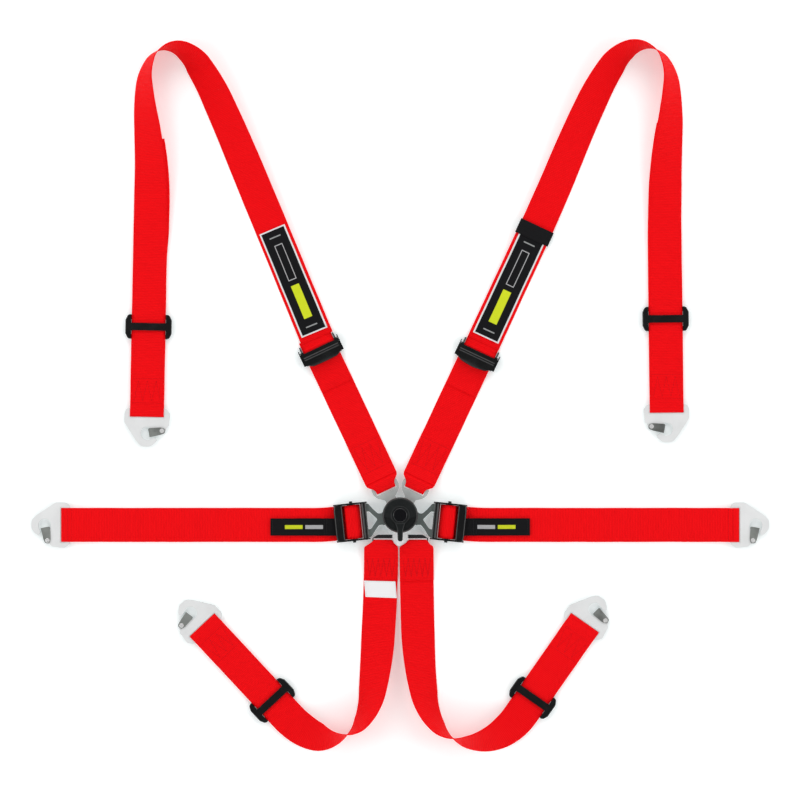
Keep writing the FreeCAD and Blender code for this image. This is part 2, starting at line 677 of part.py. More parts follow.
def crotch_web(side):
    """One crotch strap from the tongue to its hook."""
    route = "crotch_" + side
    sign = 1 if side == "right" else -1
    total = route_length(route)
    joint = total - CROTCH_UNDER[side]
    over = TONGUE_Z + TONGUE_T + FOLD_GAP
    under = TONGUE_Z - FOLD_GAP
    slot_x = CROTCH_BAR[0] - 1.6
    y = sign * CROTCH_FOLD_Y
    fold_end = CROTCH_BAR[0] + 0.6
    wide = CROTCH_BAR[1] + 0.6
    fold = ribbon([(fold_end, over), (slot_x, over), (slot_x, under), (fold_end, under)],
                  CROTCH_FOLDED_WIDTH)
    fold.translate(V(0, y, 0))
    start_x, start_y, heading, roll = route_point(route, CROTCH_HEAD[0])
    flat_x = -PIN_CIRCLE_R - start_y
    middle = CROTCH_HEAD_Z + WEB + 0.05
    top = tapered([(fold_end, y, over, CROTCH_FOLDED_WIDTH), (wide, start_x, over, WEB_WIDTH),
                   (flat_x, start_x, middle + WEB / 2 + LAYER_GAP, WEB_WIDTH)], WEB)
    bottom = tapered([(fold_end, y, under, CROTCH_FOLDED_WIDTH), (wide, start_x, under, WEB_WIDTH),
                      (flat_x, start_x, middle - WEB / 2, WEB_WIDTH)], WEB)
    head = on_arm(group([fold, top, bottom]), "crotch")
    down = [(0, CROTCH_HEAD_Z), (CROTCH_HEAD[0], CROTCH_HEAD_Z), (46, FLOOR_GAP), (60, FLOOR_GAP)]
    head_band = band(route, *CROTCH_HEAD, down, DOUBLE)
    profile = [(0, FLOOR_GAP), (total - CROTCH_RAMP[0], FLOOR_GAP),
               (total - CROTCH_RAMP[1], SLIDER_STRAP_Z), (total, SLIDER_STRAP_Z)]
    single = band(route, CROTCH_HEAD[1], joint, profile, WEB)
    doubled = band(route, joint, total - HOOK_LOOP, profile, DOUBLE)
    loop = at_route_end(hook_loop(SLIDER_STRAP_Z + DOUBLE), route)
    return group([head, head_band, single, doubled, loop])


def shoulder_patch(side):
    """Flat sewn patch along the strap."""
    thickness = 1.2
    route = "shoulder_" + side
    profile = shoulder_profile(side)
    sections = []
    start, end = PATCH_SPAN
    for i in range(13):
        s = start + (end - start) * i / 12
        x, y, heading, roll = route_point(route, s)
        h, r = math.radians(heading), math.radians(roll)
        lift = abs(math.sin(r)) * WEB_WIDTH / 2 + math.cos(r) * WEB / 2 + level(profile, s)
        normal = V(math.sin(h) * math.sin(r), -math.cos(h) * math.sin(r), math.cos(r))
        centre = V(x, y, lift) + normal * ((WEB + thickness) / 2 + PATCH_GAP)
        sections.append(section(centre, heading, roll, PATCH_WIDTH, thickness))
    return skinned(sections)


def keeper_band():
    """Elastic loop round the right shoulder strap, over the end of its patch."""
    x, y, heading, roll = route_point("shoulder_right", sum(KEEPER_SPAN) / 2)
    length = KEEPER_SPAN[1] - KEEPER_SPAN[0]
    outer = rounded([(-26.6, -2.0, 1.5), (26.6, -2.0, 1.5), (26.6, 3.2, 1.5), (-26.6, 3.2, 1.5)],
                    0, length)
    inner = rounded([(-25.4, -1.1, 0), (25.4, -1.1, 0), (25.4, 2.3, 0), (-25.4, 2.3, 0)],
                    0, length)
    ring = outer.cut(inner)
    ring.rotate(V(0, 0, 0), X_AXIS, 90)
    ring.rotate(V(0, 0, 0), UP, -90)
    ring.translate(V(length / 2, 0, 0))
    ring.rotate(V(0, 0, 0), X_AXIS, roll)
    lift = level(shoulder_profile("right"), sum(KEEPER_SPAN) / 2)
    lift += abs(math.sin(math.radians(roll))) * WEB_WIDTH / 2 + WEB / 2
    return placed(ring, x, y, heading, lift)


# ---------------------------------------------------------------- shoulder adjuster
def at_shoulder_adjuster(shape, side):
    """Move from the adjuster's own axes to the arm."""
    moved = shape.copy()
    moved.translate(V(SHOULDER_REACH[side] - SH_CENTRE, 0, 0))
    return on_arm(moved, "shoulder_" + side)


def side_plates(outline, half, thickness):
    """A pair of upright plates from an (x, z, radius) outline."""
    plate = rounded([(x, -z, radius) for x, z, radius in outline], 0, thickness)
    plate.rotate(V(0, 0, 0), X_AXIS, -90)
    left = plate.copy()
    left.translate(V(0, half, 0))
    right = plate.copy()
    right.translate(V(0, -half - thickness, 0))
    return [left, right]


def shoulder_adjuster_frame(bulge):
    """Folded steel frame: side plates, pivot bar, cover bar and a turned-up lip."""
    outline = [(-5, 2.0, 2), (-5, 12.6, 2), (16, 12.6, 3), (25, 9.0, 2), (25, 0.5, 2), (-2, 0.5, 2)]
    plates = side_plates(outline, FRAME_HALF, SIDE_PLATE_T)
    half = FRAME_HALF + SIDE_PLATE_T
    lock_slot = oval_bar(LOCK_X[0] - 2.2 - LOCK_TRAVEL_SH, LOCK_X[1] + 0.2, 2.0, 8.2, half + 1)
    plates = [plate.cut(lock_slot) for plate in plates]
    pivot = cross_bar(BAR_R, SH_PIVOT[0], SH_PIVOT[1], half)
    guard = [(-4, 3.0, 2), (-4, 11.6, 2), (14, 11.6, 2), (20, 9.0, 2), (20, 3.0, 2)]
    plates += side_plates(guard, OUTER_PLATE_Y, OUTER_PLATE_T)
    whole = OUTER_PLATE_Y + OUTER_PLATE_T
    cover = rounded(mirrored_half([(-4, whole, 1.5), (14, whole, 1.5)]), COVER_Z, SH_COVER_T)
    ridge = cross_bar(RIDGE_R, *RIDGE, half).cut(block(-20, 20, -whole, whole, 0, COVER_Z))
    lip_flat = rounded([(-4, -half, 0), (-3, half, 0), (-4, half, 0), (-9, 19, 6),
                        (-9 - bulge, 0, 40), (-9, -19, 6)], 0, 2.0)
    lip_flat.rotate(V(-4, 0, 0), Y_AXIS, 18)
    lip_flat.translate(V(0, 0, COVER_Z + 0.3))
    return cover.multiFuse(plates + [ridge, pivot, lip_flat])


def shoulder_lock_bar():
    """Sliding bar that the strap wraps round, with end tabs outside the side plates."""
    bar = oval_bar(LOCK_X[0], LOCK_X[1], LOCK_Z[0], LOCK_Z[1], FRAME_HALF + SIDE_PLATE_T + 2.0)
    return bar


def shoulder_wrap():
    """Strap round the lock bar, cut off level with the frame's outer end."""
    return ribbon([(26.0, 2.3), (21.5, 4.2), (17.3, 8.8), (11.0, 8.8), (9.0, 7.0), (8.8, 3.0),
                   (10.6, 0.8), (26.0, 0.8)], WRAP_WIDTH)


# ---------------------------------------------------------------- lap adjuster
def at_lap_rod(shape, side):
    """Move from the hinge rod's axes to the arm."""
    moved = shape.copy()
    moved.translate(V(LAP_ROD_REACH, 0, 0))
    return on_arm(moved, "lap_" + side)


def knuckle_hood():
    """Curved strip over the hinge knuckles, from one side plate to the other."""
    def at(radius, degrees):
        angle = math.radians(degrees)
        return V(radius * math.cos(angle), -FRAME_HALF, LAP_ROD_Z + radius * math.sin(angle))

    low, high = HOOD_ANGLES
    middle = (low + high) / 2
    outer = Part.Arc(at(HOOD_OUTER_R, low), at(HOOD_OUTER_R, middle), at(HOOD_OUTER_R, high))
    inner = Part.Arc(at(HOOD_INNER_R, high), at(HOOD_INNER_R, middle), at(HOOD_INNER_R, low))
    edges = [outer.toShape(), Part.makeLine(at(HOOD_OUTER_R, high), at(HOOD_INNER_R, high)),
             inner.toShape(), Part.makeLine(at(HOOD_INNER_R, low), at(HOOD_OUTER_R, low))]
    return Part.Face(Part.Wire(edges)).extrude(V(0, 2 * FRAME_HALF, 0))


def lap_adjuster_frame():
    """Side plates turning on the hinge rod, joined by a broad bar at the outer end."""
    outline = [(-4.8, 13.3, 4.7), (8, 13.3, 4), (14, 14, 4), (38, 14, 3), (LAP_FRAME_END, 11.5, 2),
               (LAP_FRAME_END, 3.5, 2), (40, 0.5, 2), (8, 0.5, 2), (3, 3.7, 2), (-4.8, 3.7, 4.7)]
    plates = side_plates(outline, FRAME_HALF, SIDE_PLATE_T)
    half = FRAME_HALF + SIDE_PLATE_T
    pin_x = (LAP_LOCK_X[0] + LAP_LOCK_X[1]) / 2
    pin_z = (LAP_LOCK_Z[0] + LAP_LOCK_Z[1]) / 2
    slot = oval_bar(pin_x - LAP_END_PIN_R - LAP_LOCK_TRAVEL - 0.2, pin_x + LAP_END_PIN_R + 0.2,
                    pin_z - LAP_END_PIN_R - 0.1, pin_z + LAP_END_PIN_R + 0.1, half + 1)
    plates = [plate.cut(slot) for plate in plates]
    bar = rounded(mirrored_half([(32, half, 3), (43.5, half, 3), (LAP_FRAME_END, 18, 12)]), 5.0, 9.0)
    bar = softened(bar, 2.4, flat_at(14.0))
    pocket = block(38, 50, -TAB_WIDTH / 2 - 0.3, TAB_WIDTH / 2 + 0.3, 5.1, 8.1)
    rod = cross_bar(BAR_R, 0, LAP_ROD_Z, half)
    return bar.cut(pocket).multiFuse(plates + [rod, knuckle_hood()])


def lap_lock_bar():
    """Sliding bar under the strap's crown, with end pins through the side plates."""
    bar = oval_bar(LAP_LOCK_X[0], LAP_LOCK_X[1], LAP_LOCK_Z[0], LAP_LOCK_Z[1], FRAME_HALF - 0.3)
    pin = cross_bar(LAP_END_PIN_R, sum(LAP_LOCK_X) / 2, sum(LAP_LOCK_Z) / 2,
                    FRAME_HALF + SIDE_PLATE_T + 2.7)
    return bar.fuse(pin)


def lap_wrap():
    """Strap over the lock bar and back beneath it."""
    return ribbon([(LAP_WRAP_END, 2.3), (29.5, 2.3), (24.2, 9.7), (21.5, 10.6), (16.5, 10.6),
                   (13.0, 9.2), (8.0, 4.2), (7.6, 2.2), (9.0, 0.8), (LAP_WRAP_END, 0.8)],
                  WRAP_WIDTH)


def lap_pull_tab():
    """Narrow pull strap held in the outer bar and lying over the lap strap."""
    return ribbon([(39.0, 6.6), (52.0, 6.6), (62.0, 4.6), (140.0, 4.6)], TAB_WIDTH, 2.0)


def on_lap_strap(shape, side):
    """Move from the axes of the lap strap, x outward from its start, to the arm."""
    moved = shape.copy() if side == "right" else flipped(shape)
    moved.translate(V(LAP_ROD_REACH + LAP_WEB_START, 0, 0))
    return on_arm(moved, "lap_" + side)


def lap_web(side):
    """Doubled lap strap from the adjuster to its hook."""
    total = route_length("lap")
    level_floor = [(0, FLOOR_GAP), (total, FLOOR_GAP)]
    run = band("lap", 0, total - HOOK_LOOP, level_floor, DOUBLE)
    loop = at_route_end(hook_loop(FLOOR_GAP + DOUBLE), "lap")
    return on_lap_strap(group([run, loop]), side)


# ---------------------------------------------------------------- snap hooks
def hook_plate():
    """Flat hook: webbing slot, eye, open throat and a lobe for the gate pin."""
    outline = rounded([(-15.7, 22, 4), (-13.1, 30.4, 3), (-7.1, 33.2, 4), (6.5, 33.3, 5),
                       (12.5, 29.6, 6), (34.5, 15.0, 8), (42.5, 7.5, 10), (42.5, -5.5, 10),
                       (36.5, -12.8, 3), (31.9, -15.8, 1.2), (25, -20, 0), (19.0, -27.4, 0),
                       (15.5, -28.5, 2), (11.5, -32.2, 4), (-6.3, -34.2, 4), (-13.1, -29.5, 4),
                       (-15.7, -22, 4)], HOOK_Z, HOOK_T)
    slot = rounded([(SLOT_X[0], 25.8, 0.6), (SLOT_X[1], 25.8, 0.6), (SLOT_X[1], -25.8, 0.6),
                    (SLOT_X[0], -25.8, 0.6)], 0, 20)
    throat = rounded([(30.6, -4.5, 0), (28.2, -10.8, 2), (31.9, -16.2, 0), (34, -32, 0),
                      (19.2, -32, 0), (19.2, -27.0, 0), (21.5, -21.5, 0), (19.8, -17.9, 0),
                      (14.0, -4.0, 0)], 0, 20)
    body = outline.cut(slot).cut(disc(EYE_R, 0, 20, *EYE)).cut(throat)
    body = body.fuse(disc(LOBE_R, HOOK_Z, HOOK_T, *GATE_PIN))
    body = body.cut(disc(GATE_PIN_R, 0, 20, *GATE_PIN))
    return body.removeSplitter()


def hook_gate():
    """Folded channel that straddles the plate and closes the throat."""
    px, py = GATE_PIN
    outline = [(14.9, -2.0, 2.0), (28.2, -4.6, 2.0), (24.4, -20.5, 1), (22.0, -26.8, 3.0),
               (15.0, -26.8, 3.0), (13.6, -20.0, 1)]
    low, high = GATE_Z
    cheeks = [rounded(outline, z, GATE_SHEET) for z in (low, high - GATE_SHEET)]
    web = rounded([(28.2, -4.6, 0), (24.7, -19.2, 0), (23.5, -19.0, 0), (27.0, -4.4, 0)],
                  low, high - low)
    body = web.multiFuse(cheeks)
    return body.cut(disc(GATE_PIN_R + GATE_PIN_PLAY, 0, 20, px, py))


def gate_pin():
    """Rivet with a round head above the gate."""
    head = disc(3.2, GATE_Z[1] + 0.15, 0.9, *GATE_PIN)
    head = softened(head, 0.5, flat_at(GATE_Z[1] + 1.05))
    return head.fuse(disc(GATE_PIN_R, FLOOR_GAP, GATE_Z[1] + 0.5, *GATE_PIN))


def at_hook(shape, strap):
    """Move from a hook's own axes (x outward, y left) to the end of its strap."""
    kind, side = strap.split("_")
    if kind == "lap":
        return on_lap_strap(at_route_end(shape, "lap"), side)
    handed = shape if side == "right" else flipped(shape)
    return at_route_end(handed, strap)


# ---------------------------------------------------------------- sliders


def slider():
    """Three-bar slide: low outer bars, a raised middle bar and two round ears."""
    half = SLIDER_LENGTH / 2
    outline = rounded([(-half, -30, 5), (-half, 30, 5), (-half + 8, SLIDER_WIDTH / 2, 6),
                       (half - 8, SLIDER_WIDTH / 2, 6), (half, 30, 5), (half, -30, 5),
                       (half - 8, -SLIDER_WIDTH / 2, 6), (-half + 8, -SLIDER_WIDTH / 2, 6)],
                      SLIDER_BOTTOM, SLIDER_TOP - SLIDER_BOTTOM)
    outline = softened(outline, 1.2, flat_at(SLIDER_TOP))
    gap = SLIDER_GAP_HALF
    low, high = SLIDER_GAP
    strap_way = block(-half, half, -gap, gap, low, high)
    open_top = [block(-half - 1, -SLIDER_MIDDLE / 2, -gap, gap, low, 20),
                block(SLIDER_MIDDLE / 2, half + 1, -gap, gap, low, 20)]
    open_floor = block(-half + SLIDER_BAR, half - SLIDER_BAR, -gap, gap, 0, low + 0.4)
    body = outline.cut(strap_way).cut(open_floor)
    for cut in open_top:
        body = body.cut(cut)
    return body


def at_slider(shape, strap):
    return at_route_end(shape, strap, SLIDER_FROM_HOOK[strap])


# ---------------------------------------------------------------- nodes
def nodes():
    """Every subcomponent of the harness, by node name."""
    parts = {
        "buckle_housing": buckle_housing(),
        "buckle_back_cover": back_cover(),
        "buckle_screws": screws(),
        "spindle": spindle(),
        "return_spring": return_spring(),
        "rotary_knob": rotary_knob(),
        "knob_cap": knob_cap(),
        "cam_plate": cam_plate(),
        "latch_plungers": latch_plungers(),
        "keeper_band": keeper_band(),
        "crotch_tongue": on_arm(crotch_tongue(), "crotch"),
    }
    hook, gate, pin, slide = hook_plate(), hook_gate(), gate_pin(), slider()
    for side in ("left", "right"):
        sh = "shoulder_" + side
        parts[sh + "_tongue"] = on_arm(shoulder_tongue(), sh)
        parts[sh + "_lower_web"] = on_arm(shoulder_lower_web(side), sh)
        parts[sh + "_upper_web"] = shoulder_upper_web(side)
        parts[sh + "_patch"] = shoulder_patch(side)
        bulge = LIP_BULGE[side]
        parts[sh + "_adjuster_frame"] = at_shoulder_adjuster(shoulder_adjuster_frame(bulge), side)
        parts[sh + "_lock_bar"] = at_shoulder_adjuster(shoulder_lock_bar(), side)
        parts[sh + "_wrap"] = at_shoulder_adjuster(shoulder_wrap(), side)
        lap = "lap_" + side
        parts[lap + "_tongue"] = on_arm(lap_tongue(), lap)
        parts[lap + "_web"] = lap_web(side)
        parts[lap + "_adjuster_frame"] = at_lap_rod(lap_adjuster_frame(), side)
        parts[lap + "_lock_bar"] = at_lap_rod(lap_lock_bar(), side)
        parts[lap + "_wrap"] = at_lap_rod(lap_wrap(), side)
        parts[lap + "_pull_tab"] = at_lap_rod(lap_pull_tab(), side)
        parts["crotch_" + side + "_web"] = crotch_web(side)
        for strap in (sh, lap, "crotch_" + side):
            parts[strap + "_hook"] = at_hook(hook, strap)
            parts[strap + "_gate"] = at_hook(gate, strap)
        for strap in (sh, lap):
            parts[strap + "_gate_pin"] = at_hook(pin, strap)
        for strap in (sh, "crotch_" + side):
            parts[strap + "_slider"] = at_slider(slide, strap)
    parts["crotch_gate_pins"] = group([at_hook(pin, "crotch_left"), at_hook(pin, "crotch_right")])
    return parts


def main():
    os.makedirs("parts", exist_ok=True)
    for name, shape in nodes().items():
        shape.exportStep("parts/" + name + ".step")


main()
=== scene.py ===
import json
import math

import bmesh
import bpy
from mathutils import Vector
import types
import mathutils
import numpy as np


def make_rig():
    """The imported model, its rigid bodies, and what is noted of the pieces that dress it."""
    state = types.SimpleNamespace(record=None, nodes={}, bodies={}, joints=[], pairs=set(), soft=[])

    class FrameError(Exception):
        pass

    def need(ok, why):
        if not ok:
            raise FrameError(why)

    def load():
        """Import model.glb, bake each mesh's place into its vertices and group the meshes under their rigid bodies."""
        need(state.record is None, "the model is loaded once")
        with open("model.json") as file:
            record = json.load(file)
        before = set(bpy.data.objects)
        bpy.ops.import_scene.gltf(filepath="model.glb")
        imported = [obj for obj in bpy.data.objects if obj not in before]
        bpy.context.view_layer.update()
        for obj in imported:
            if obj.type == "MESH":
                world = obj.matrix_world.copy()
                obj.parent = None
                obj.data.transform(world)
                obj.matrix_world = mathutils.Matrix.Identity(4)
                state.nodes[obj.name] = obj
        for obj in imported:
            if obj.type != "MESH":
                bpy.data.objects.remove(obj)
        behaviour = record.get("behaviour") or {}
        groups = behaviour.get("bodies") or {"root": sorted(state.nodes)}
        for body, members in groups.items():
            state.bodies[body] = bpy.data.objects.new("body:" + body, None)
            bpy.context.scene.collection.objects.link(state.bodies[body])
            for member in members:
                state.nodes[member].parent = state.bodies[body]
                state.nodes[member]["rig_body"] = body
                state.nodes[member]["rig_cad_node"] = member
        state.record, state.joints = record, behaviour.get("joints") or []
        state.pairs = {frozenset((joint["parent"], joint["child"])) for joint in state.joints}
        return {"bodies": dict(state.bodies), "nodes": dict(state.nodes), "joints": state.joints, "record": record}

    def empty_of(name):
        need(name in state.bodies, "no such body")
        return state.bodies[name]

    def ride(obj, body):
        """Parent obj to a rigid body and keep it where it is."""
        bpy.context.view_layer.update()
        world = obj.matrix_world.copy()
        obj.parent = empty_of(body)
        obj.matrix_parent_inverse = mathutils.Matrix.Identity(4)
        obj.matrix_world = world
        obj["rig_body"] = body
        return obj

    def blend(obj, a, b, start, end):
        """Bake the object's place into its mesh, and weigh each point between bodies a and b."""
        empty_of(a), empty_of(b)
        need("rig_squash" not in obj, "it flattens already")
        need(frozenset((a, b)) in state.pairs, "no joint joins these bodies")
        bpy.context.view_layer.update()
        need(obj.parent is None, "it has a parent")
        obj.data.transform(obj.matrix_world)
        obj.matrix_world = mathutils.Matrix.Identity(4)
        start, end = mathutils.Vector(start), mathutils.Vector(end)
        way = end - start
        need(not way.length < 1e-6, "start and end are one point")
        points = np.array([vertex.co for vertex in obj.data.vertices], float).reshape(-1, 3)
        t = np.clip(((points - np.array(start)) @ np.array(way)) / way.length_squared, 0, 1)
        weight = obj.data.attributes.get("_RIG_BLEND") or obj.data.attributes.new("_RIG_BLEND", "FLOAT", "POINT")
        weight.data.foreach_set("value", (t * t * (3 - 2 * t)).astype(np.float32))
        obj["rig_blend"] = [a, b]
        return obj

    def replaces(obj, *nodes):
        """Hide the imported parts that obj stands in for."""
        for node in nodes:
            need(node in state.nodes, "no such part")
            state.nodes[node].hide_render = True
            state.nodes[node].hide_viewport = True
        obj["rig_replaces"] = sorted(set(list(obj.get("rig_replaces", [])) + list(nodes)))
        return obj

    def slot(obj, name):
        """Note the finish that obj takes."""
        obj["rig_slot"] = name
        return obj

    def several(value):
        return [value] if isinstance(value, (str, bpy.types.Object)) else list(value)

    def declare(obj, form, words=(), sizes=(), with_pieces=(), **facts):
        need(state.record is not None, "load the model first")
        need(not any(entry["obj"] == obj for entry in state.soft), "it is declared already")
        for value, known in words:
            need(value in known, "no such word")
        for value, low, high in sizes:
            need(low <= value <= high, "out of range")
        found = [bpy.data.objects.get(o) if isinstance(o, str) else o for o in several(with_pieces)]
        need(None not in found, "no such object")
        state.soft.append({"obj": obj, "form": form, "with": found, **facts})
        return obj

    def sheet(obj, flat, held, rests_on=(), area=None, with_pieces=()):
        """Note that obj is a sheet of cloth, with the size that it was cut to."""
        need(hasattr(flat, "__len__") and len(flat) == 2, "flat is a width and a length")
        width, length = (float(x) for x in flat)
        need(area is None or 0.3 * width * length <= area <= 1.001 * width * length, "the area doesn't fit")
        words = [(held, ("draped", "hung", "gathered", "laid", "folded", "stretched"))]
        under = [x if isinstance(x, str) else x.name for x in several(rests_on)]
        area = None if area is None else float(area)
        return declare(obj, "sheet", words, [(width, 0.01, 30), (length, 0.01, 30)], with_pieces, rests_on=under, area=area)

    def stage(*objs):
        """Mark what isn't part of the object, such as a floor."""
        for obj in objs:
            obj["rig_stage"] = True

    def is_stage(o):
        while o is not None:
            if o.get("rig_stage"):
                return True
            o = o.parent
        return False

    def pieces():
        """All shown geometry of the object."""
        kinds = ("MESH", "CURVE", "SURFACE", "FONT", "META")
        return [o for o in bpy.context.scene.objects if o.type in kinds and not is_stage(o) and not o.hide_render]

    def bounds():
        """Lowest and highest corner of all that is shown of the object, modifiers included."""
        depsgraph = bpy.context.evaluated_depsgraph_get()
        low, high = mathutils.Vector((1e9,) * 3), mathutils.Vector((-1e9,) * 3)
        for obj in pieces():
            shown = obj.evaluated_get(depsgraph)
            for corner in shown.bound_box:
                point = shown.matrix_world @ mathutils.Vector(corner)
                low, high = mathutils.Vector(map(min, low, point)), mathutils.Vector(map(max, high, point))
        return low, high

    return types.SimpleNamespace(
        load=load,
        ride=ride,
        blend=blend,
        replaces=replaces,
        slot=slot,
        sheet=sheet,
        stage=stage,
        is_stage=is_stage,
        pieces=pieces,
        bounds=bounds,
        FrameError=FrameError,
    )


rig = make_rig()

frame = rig.load()
cad_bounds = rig.bounds()

MM = 0.001
UP = Vector((0, 0, 1))
SIDES = ("left", "right")

# ------------------------------------------------------------------ camera, light and floor
CAMERA_HEIGHT = 6.0
VIEW_WIDTH = 1.176
VIEW_CENTRE = (-0.0003, 0.1686)

camera = bpy.data.objects.new("camera", bpy.data.cameras.new("camera"))
bpy.context.scene.collection.objects.link(camera)
camera.location = (VIEW_CENTRE[0], VIEW_CENTRE[1], CAMERA_HEIGHT)
camera.data.sensor_width = 36.0
camera.data.lens = 36.0 * CAMERA_HEIGHT / VIEW_WIDTH
camera.data.clip_end = 50.0
bpy.context.scene.camera = camera
bpy.context.scene.view_settings.view_transform = "Standard"

# ------------------------------------------------------------------ materials
PATCH_LENGTH, PATCH_WIDTH = 164.0, 41.0
NECK_HALF = 0.0115        # half width of the crotch tongue's neck, where a bright reflection is painted, in metres
CLOTH_BLACK = (0.005, 0.005, 0.006)
YELLOW_GREEN = (0.62, 0.70, 0.02)

class Surface:
    """A node material with a Principled shader, and short ways to add nodes to it."""

    def __init__(self, name, color, roughness=0.5, metallic=0.0, **sockets):
        self.material = bpy.data.materials.new(name)
        self.material.use_nodes = True
        self.tree = self.material.node_tree
        self.shader = self.tree.nodes["Principled BSDF"]
        self.color = color
        self.set("Base Color", (*color, 1.0))
        self.set("Roughness", roughness)
        self.set("Metallic", metallic)
        for socket, value in sockets.items():
            self.set(socket.replace("_", " "), value)

    def set(self, socket, value):
        self.shader.inputs[socket].default_value = value

    def node(self, kind, **settings):
        made = self.tree.nodes.new(kind)
        for key, value in settings.items():
            setattr(made, key, value)
        return made

    def link(self, output, target):
        self.tree.links.new(output, target)

    def feed(self, node, index, value):
        if isinstance(value, (int, float)):
            node.inputs[index].default_value = value
        else:
            self.link(value, node.inputs[index])

    def math(self, operation, a, b=0.0):
        node = self.node("ShaderNodeMath", operation=operation)
        self.feed(node, 0, a)
        self.feed(node, 1, b)
        return node.outputs[0]

    def step(self, value, low, high):
        """0 below low, 1 above high, smooth between."""
        node = self.node("ShaderNodeMapRange", interpolation_type="SMOOTHSTEP")
        self.link(value, node.inputs[0])
        node.inputs[1].default_value = low
        node.inputs[2].default_value = high
        return node.outputs[0]

    def inside(self, value, low, high, soft=0.15):
        """1 between low and high."""
        return self.math("MULTIPLY", self.step(value, low - soft, low + soft),
                         self.math("SUBTRACT", 1.0, self.step(value, high - soft, high + soft)))

    def noise(self, scale, detail=3.0, stretch=None):
        where = self.node("ShaderNodeTexCoord").outputs["Object"]
        if stretch:
            mapping = self.node("ShaderNodeMapping")
            mapping.inputs["Scale"].default_value = stretch
            self.link(where, mapping.inputs["Vector"])
            where = mapping.outputs[0]
        node = self.node("ShaderNodeTexNoise")
        node.inputs["Scale"].default_value = scale
        node.inputs["Detail"].default_value = detail
        self.link(where, node.inputs["Vector"])
        return node.outputs[0]

    def flat(self):
        """Lengthwise and crosswise place on a strip, in millimetres, from its UV map."""
        uv = self.node("ShaderNodeUVMap", uv_map="UVMap")
        split = self.node("ShaderNodeSeparateXYZ")
        self.link(uv.outputs[0], split.inputs[0])
        return split.outputs[0], split.outputs[1]

    def wave(self, value, pitch):
        return self.math("SINE", self.math("MULTIPLY", value, 2 * math.pi / pitch))

    def mix(self, factor, a, b):
        node = self.node("ShaderNodeMix", data_type="RGBA")
        self.feed(node, 0, factor)
        for index, value in ((6, a), (7, b)):
            if isinstance(value, tuple):
                node.inputs[index].default_value = (*value, 1.0)
            else:
                self.link(value, node.inputs[index])
        return node.outputs[2]

    def paint(self, output):
        self.link(output, self.shader.inputs["Base Color"])

    def rough(self, factor, low, high):
        node = self.node("ShaderNodeMapRange")
        self.link(factor, node.inputs[0])
        node.inputs[3].default_value = low
        node.inputs[4].default_value = high
        self.link(node.outputs[0], self.shader.inputs["Roughness"])

    def bump(self, height, distance, strength=1.0):
        node = self.node("ShaderNodeBump")
        node.inputs["Strength"].default_value = strength
        node.inputs["Distance"].default_value = distance
        self.link(height, node.inputs["Height"])
        self.link(node.outputs[0], self.shader.inputs["Normal"])


def shade(color, factor):
    return tuple(min(1.0, c * factor) for c in color)


def woven(name, color, rib=2.4, thread=1.5, contrast=0.16, selvedge=22.7, depth=0.0003, sheen=0.0):
    """Webbing: cross ribs over lengthwise threads, firm selvedges, faint lengthwise bands."""
    s = Surface(name, color, 0.62, Sheen_Weight=sheen, Sheen_Roughness=0.4)
    s.set("Specular IOR Level", 0.06)
    s.set("Sheen Tint", (*shade(color, 1.1), 1.0))
    along, across = s.flat()
    ribs = s.wave(along, rib)
    weave = s.math("MULTIPLY", s.wave(along, rib / 2), s.wave(across, thread))
    height = s.math("MULTIPLY_ADD", ribs, 0.5)
    height.node.inputs[2].default_value = 0.5
    height = s.math("ADD", height, s.math("MULTIPLY", weave, 0.35))
    edge = s.inside(s.math("ABSOLUTE", across), selvedge, selvedge + 0.7, 0.25)
    height = s.math("SUBTRACT", height, s.math("MULTIPLY", edge, 0.25))
    shadowed = s.math("SUBTRACT", 1.0, s.step(height, -0.2, 0.9))
    cloudy = s.noise(9.0, 4.0)
    fuzz = s.noise(900.0, 2.0)
    tone = s.mix(s.math("MULTIPLY", shadowed, contrast * 2.2), color, shade(color, 0.55))
    tone = s.mix(s.math("MULTIPLY", cloudy, 0.22), tone, shade(color, 0.82))
    tone = s.mix(s.math("MULTIPLY", s.step(fuzz, 0.62, 0.8), 0.12), tone,
                 tuple(min(1.0, c * 1.1 + 0.03) for c in color))
    s.paint(tone)
    s.rough(fuzz, 0.55, 0.72)
    s.bump(s.math("ADD", height, s.math("MULTIPLY", fuzz, 0.35)), depth)
    return s


def metal(name, color, rough_low, rough_high, grain=(1.0, 1.0, 1.0), scale=260.0, depth=0.00004,
          blotch=0.85, metallic=1.0, edge=1.0):
    """Metal with a fine grain; edge is a painted shade that darkens the faces that don't look up or down."""
    s = Surface(name, color, rough_low, metallic)
    fine = s.noise(scale, 4.0, grain)
    broad = s.noise(38.0, 3.0)
    s.rough(s.math("MULTIPLY_ADD", fine, 0.6), rough_low, rough_high)
    tone = s.mix(s.step(broad, 0.35, 0.7), color, shade(color, blotch))
    facing = s.node("ShaderNodeSeparateXYZ")
    s.link(s.node("ShaderNodeTexCoord").outputs["Normal"], facing.inputs[0])
    # painted shade: faces turned away from up or down take the colour scaled by edge
    level_face = s.step(s.math("ABSOLUTE", facing.outputs[2]), 0.5, 0.97)
    s.paint(s.mix(level_face, shade(color, edge), tone))
    s.bump(fine, depth)
    return s


def coated(name, color, rough_low, rough_high, scale=1500.0, depth=0.00006, wear=0.0, **sockets):
    """Powder coat or moulded plastic: fine texture, faint rubbed patches."""
    s = Surface(name, color, rough_low, 0.0, **sockets)
    fine = s.noise(scale, 2.0)
    broad = s.noise(60.0, 4.0)
    s.rough(broad, rough_low, rough_high)
    s.paint(s.mix(s.step(broad, 0.45, 0.75), color, shade(color, 1.0 + wear)))
    s.bump(fine, depth)
    return s


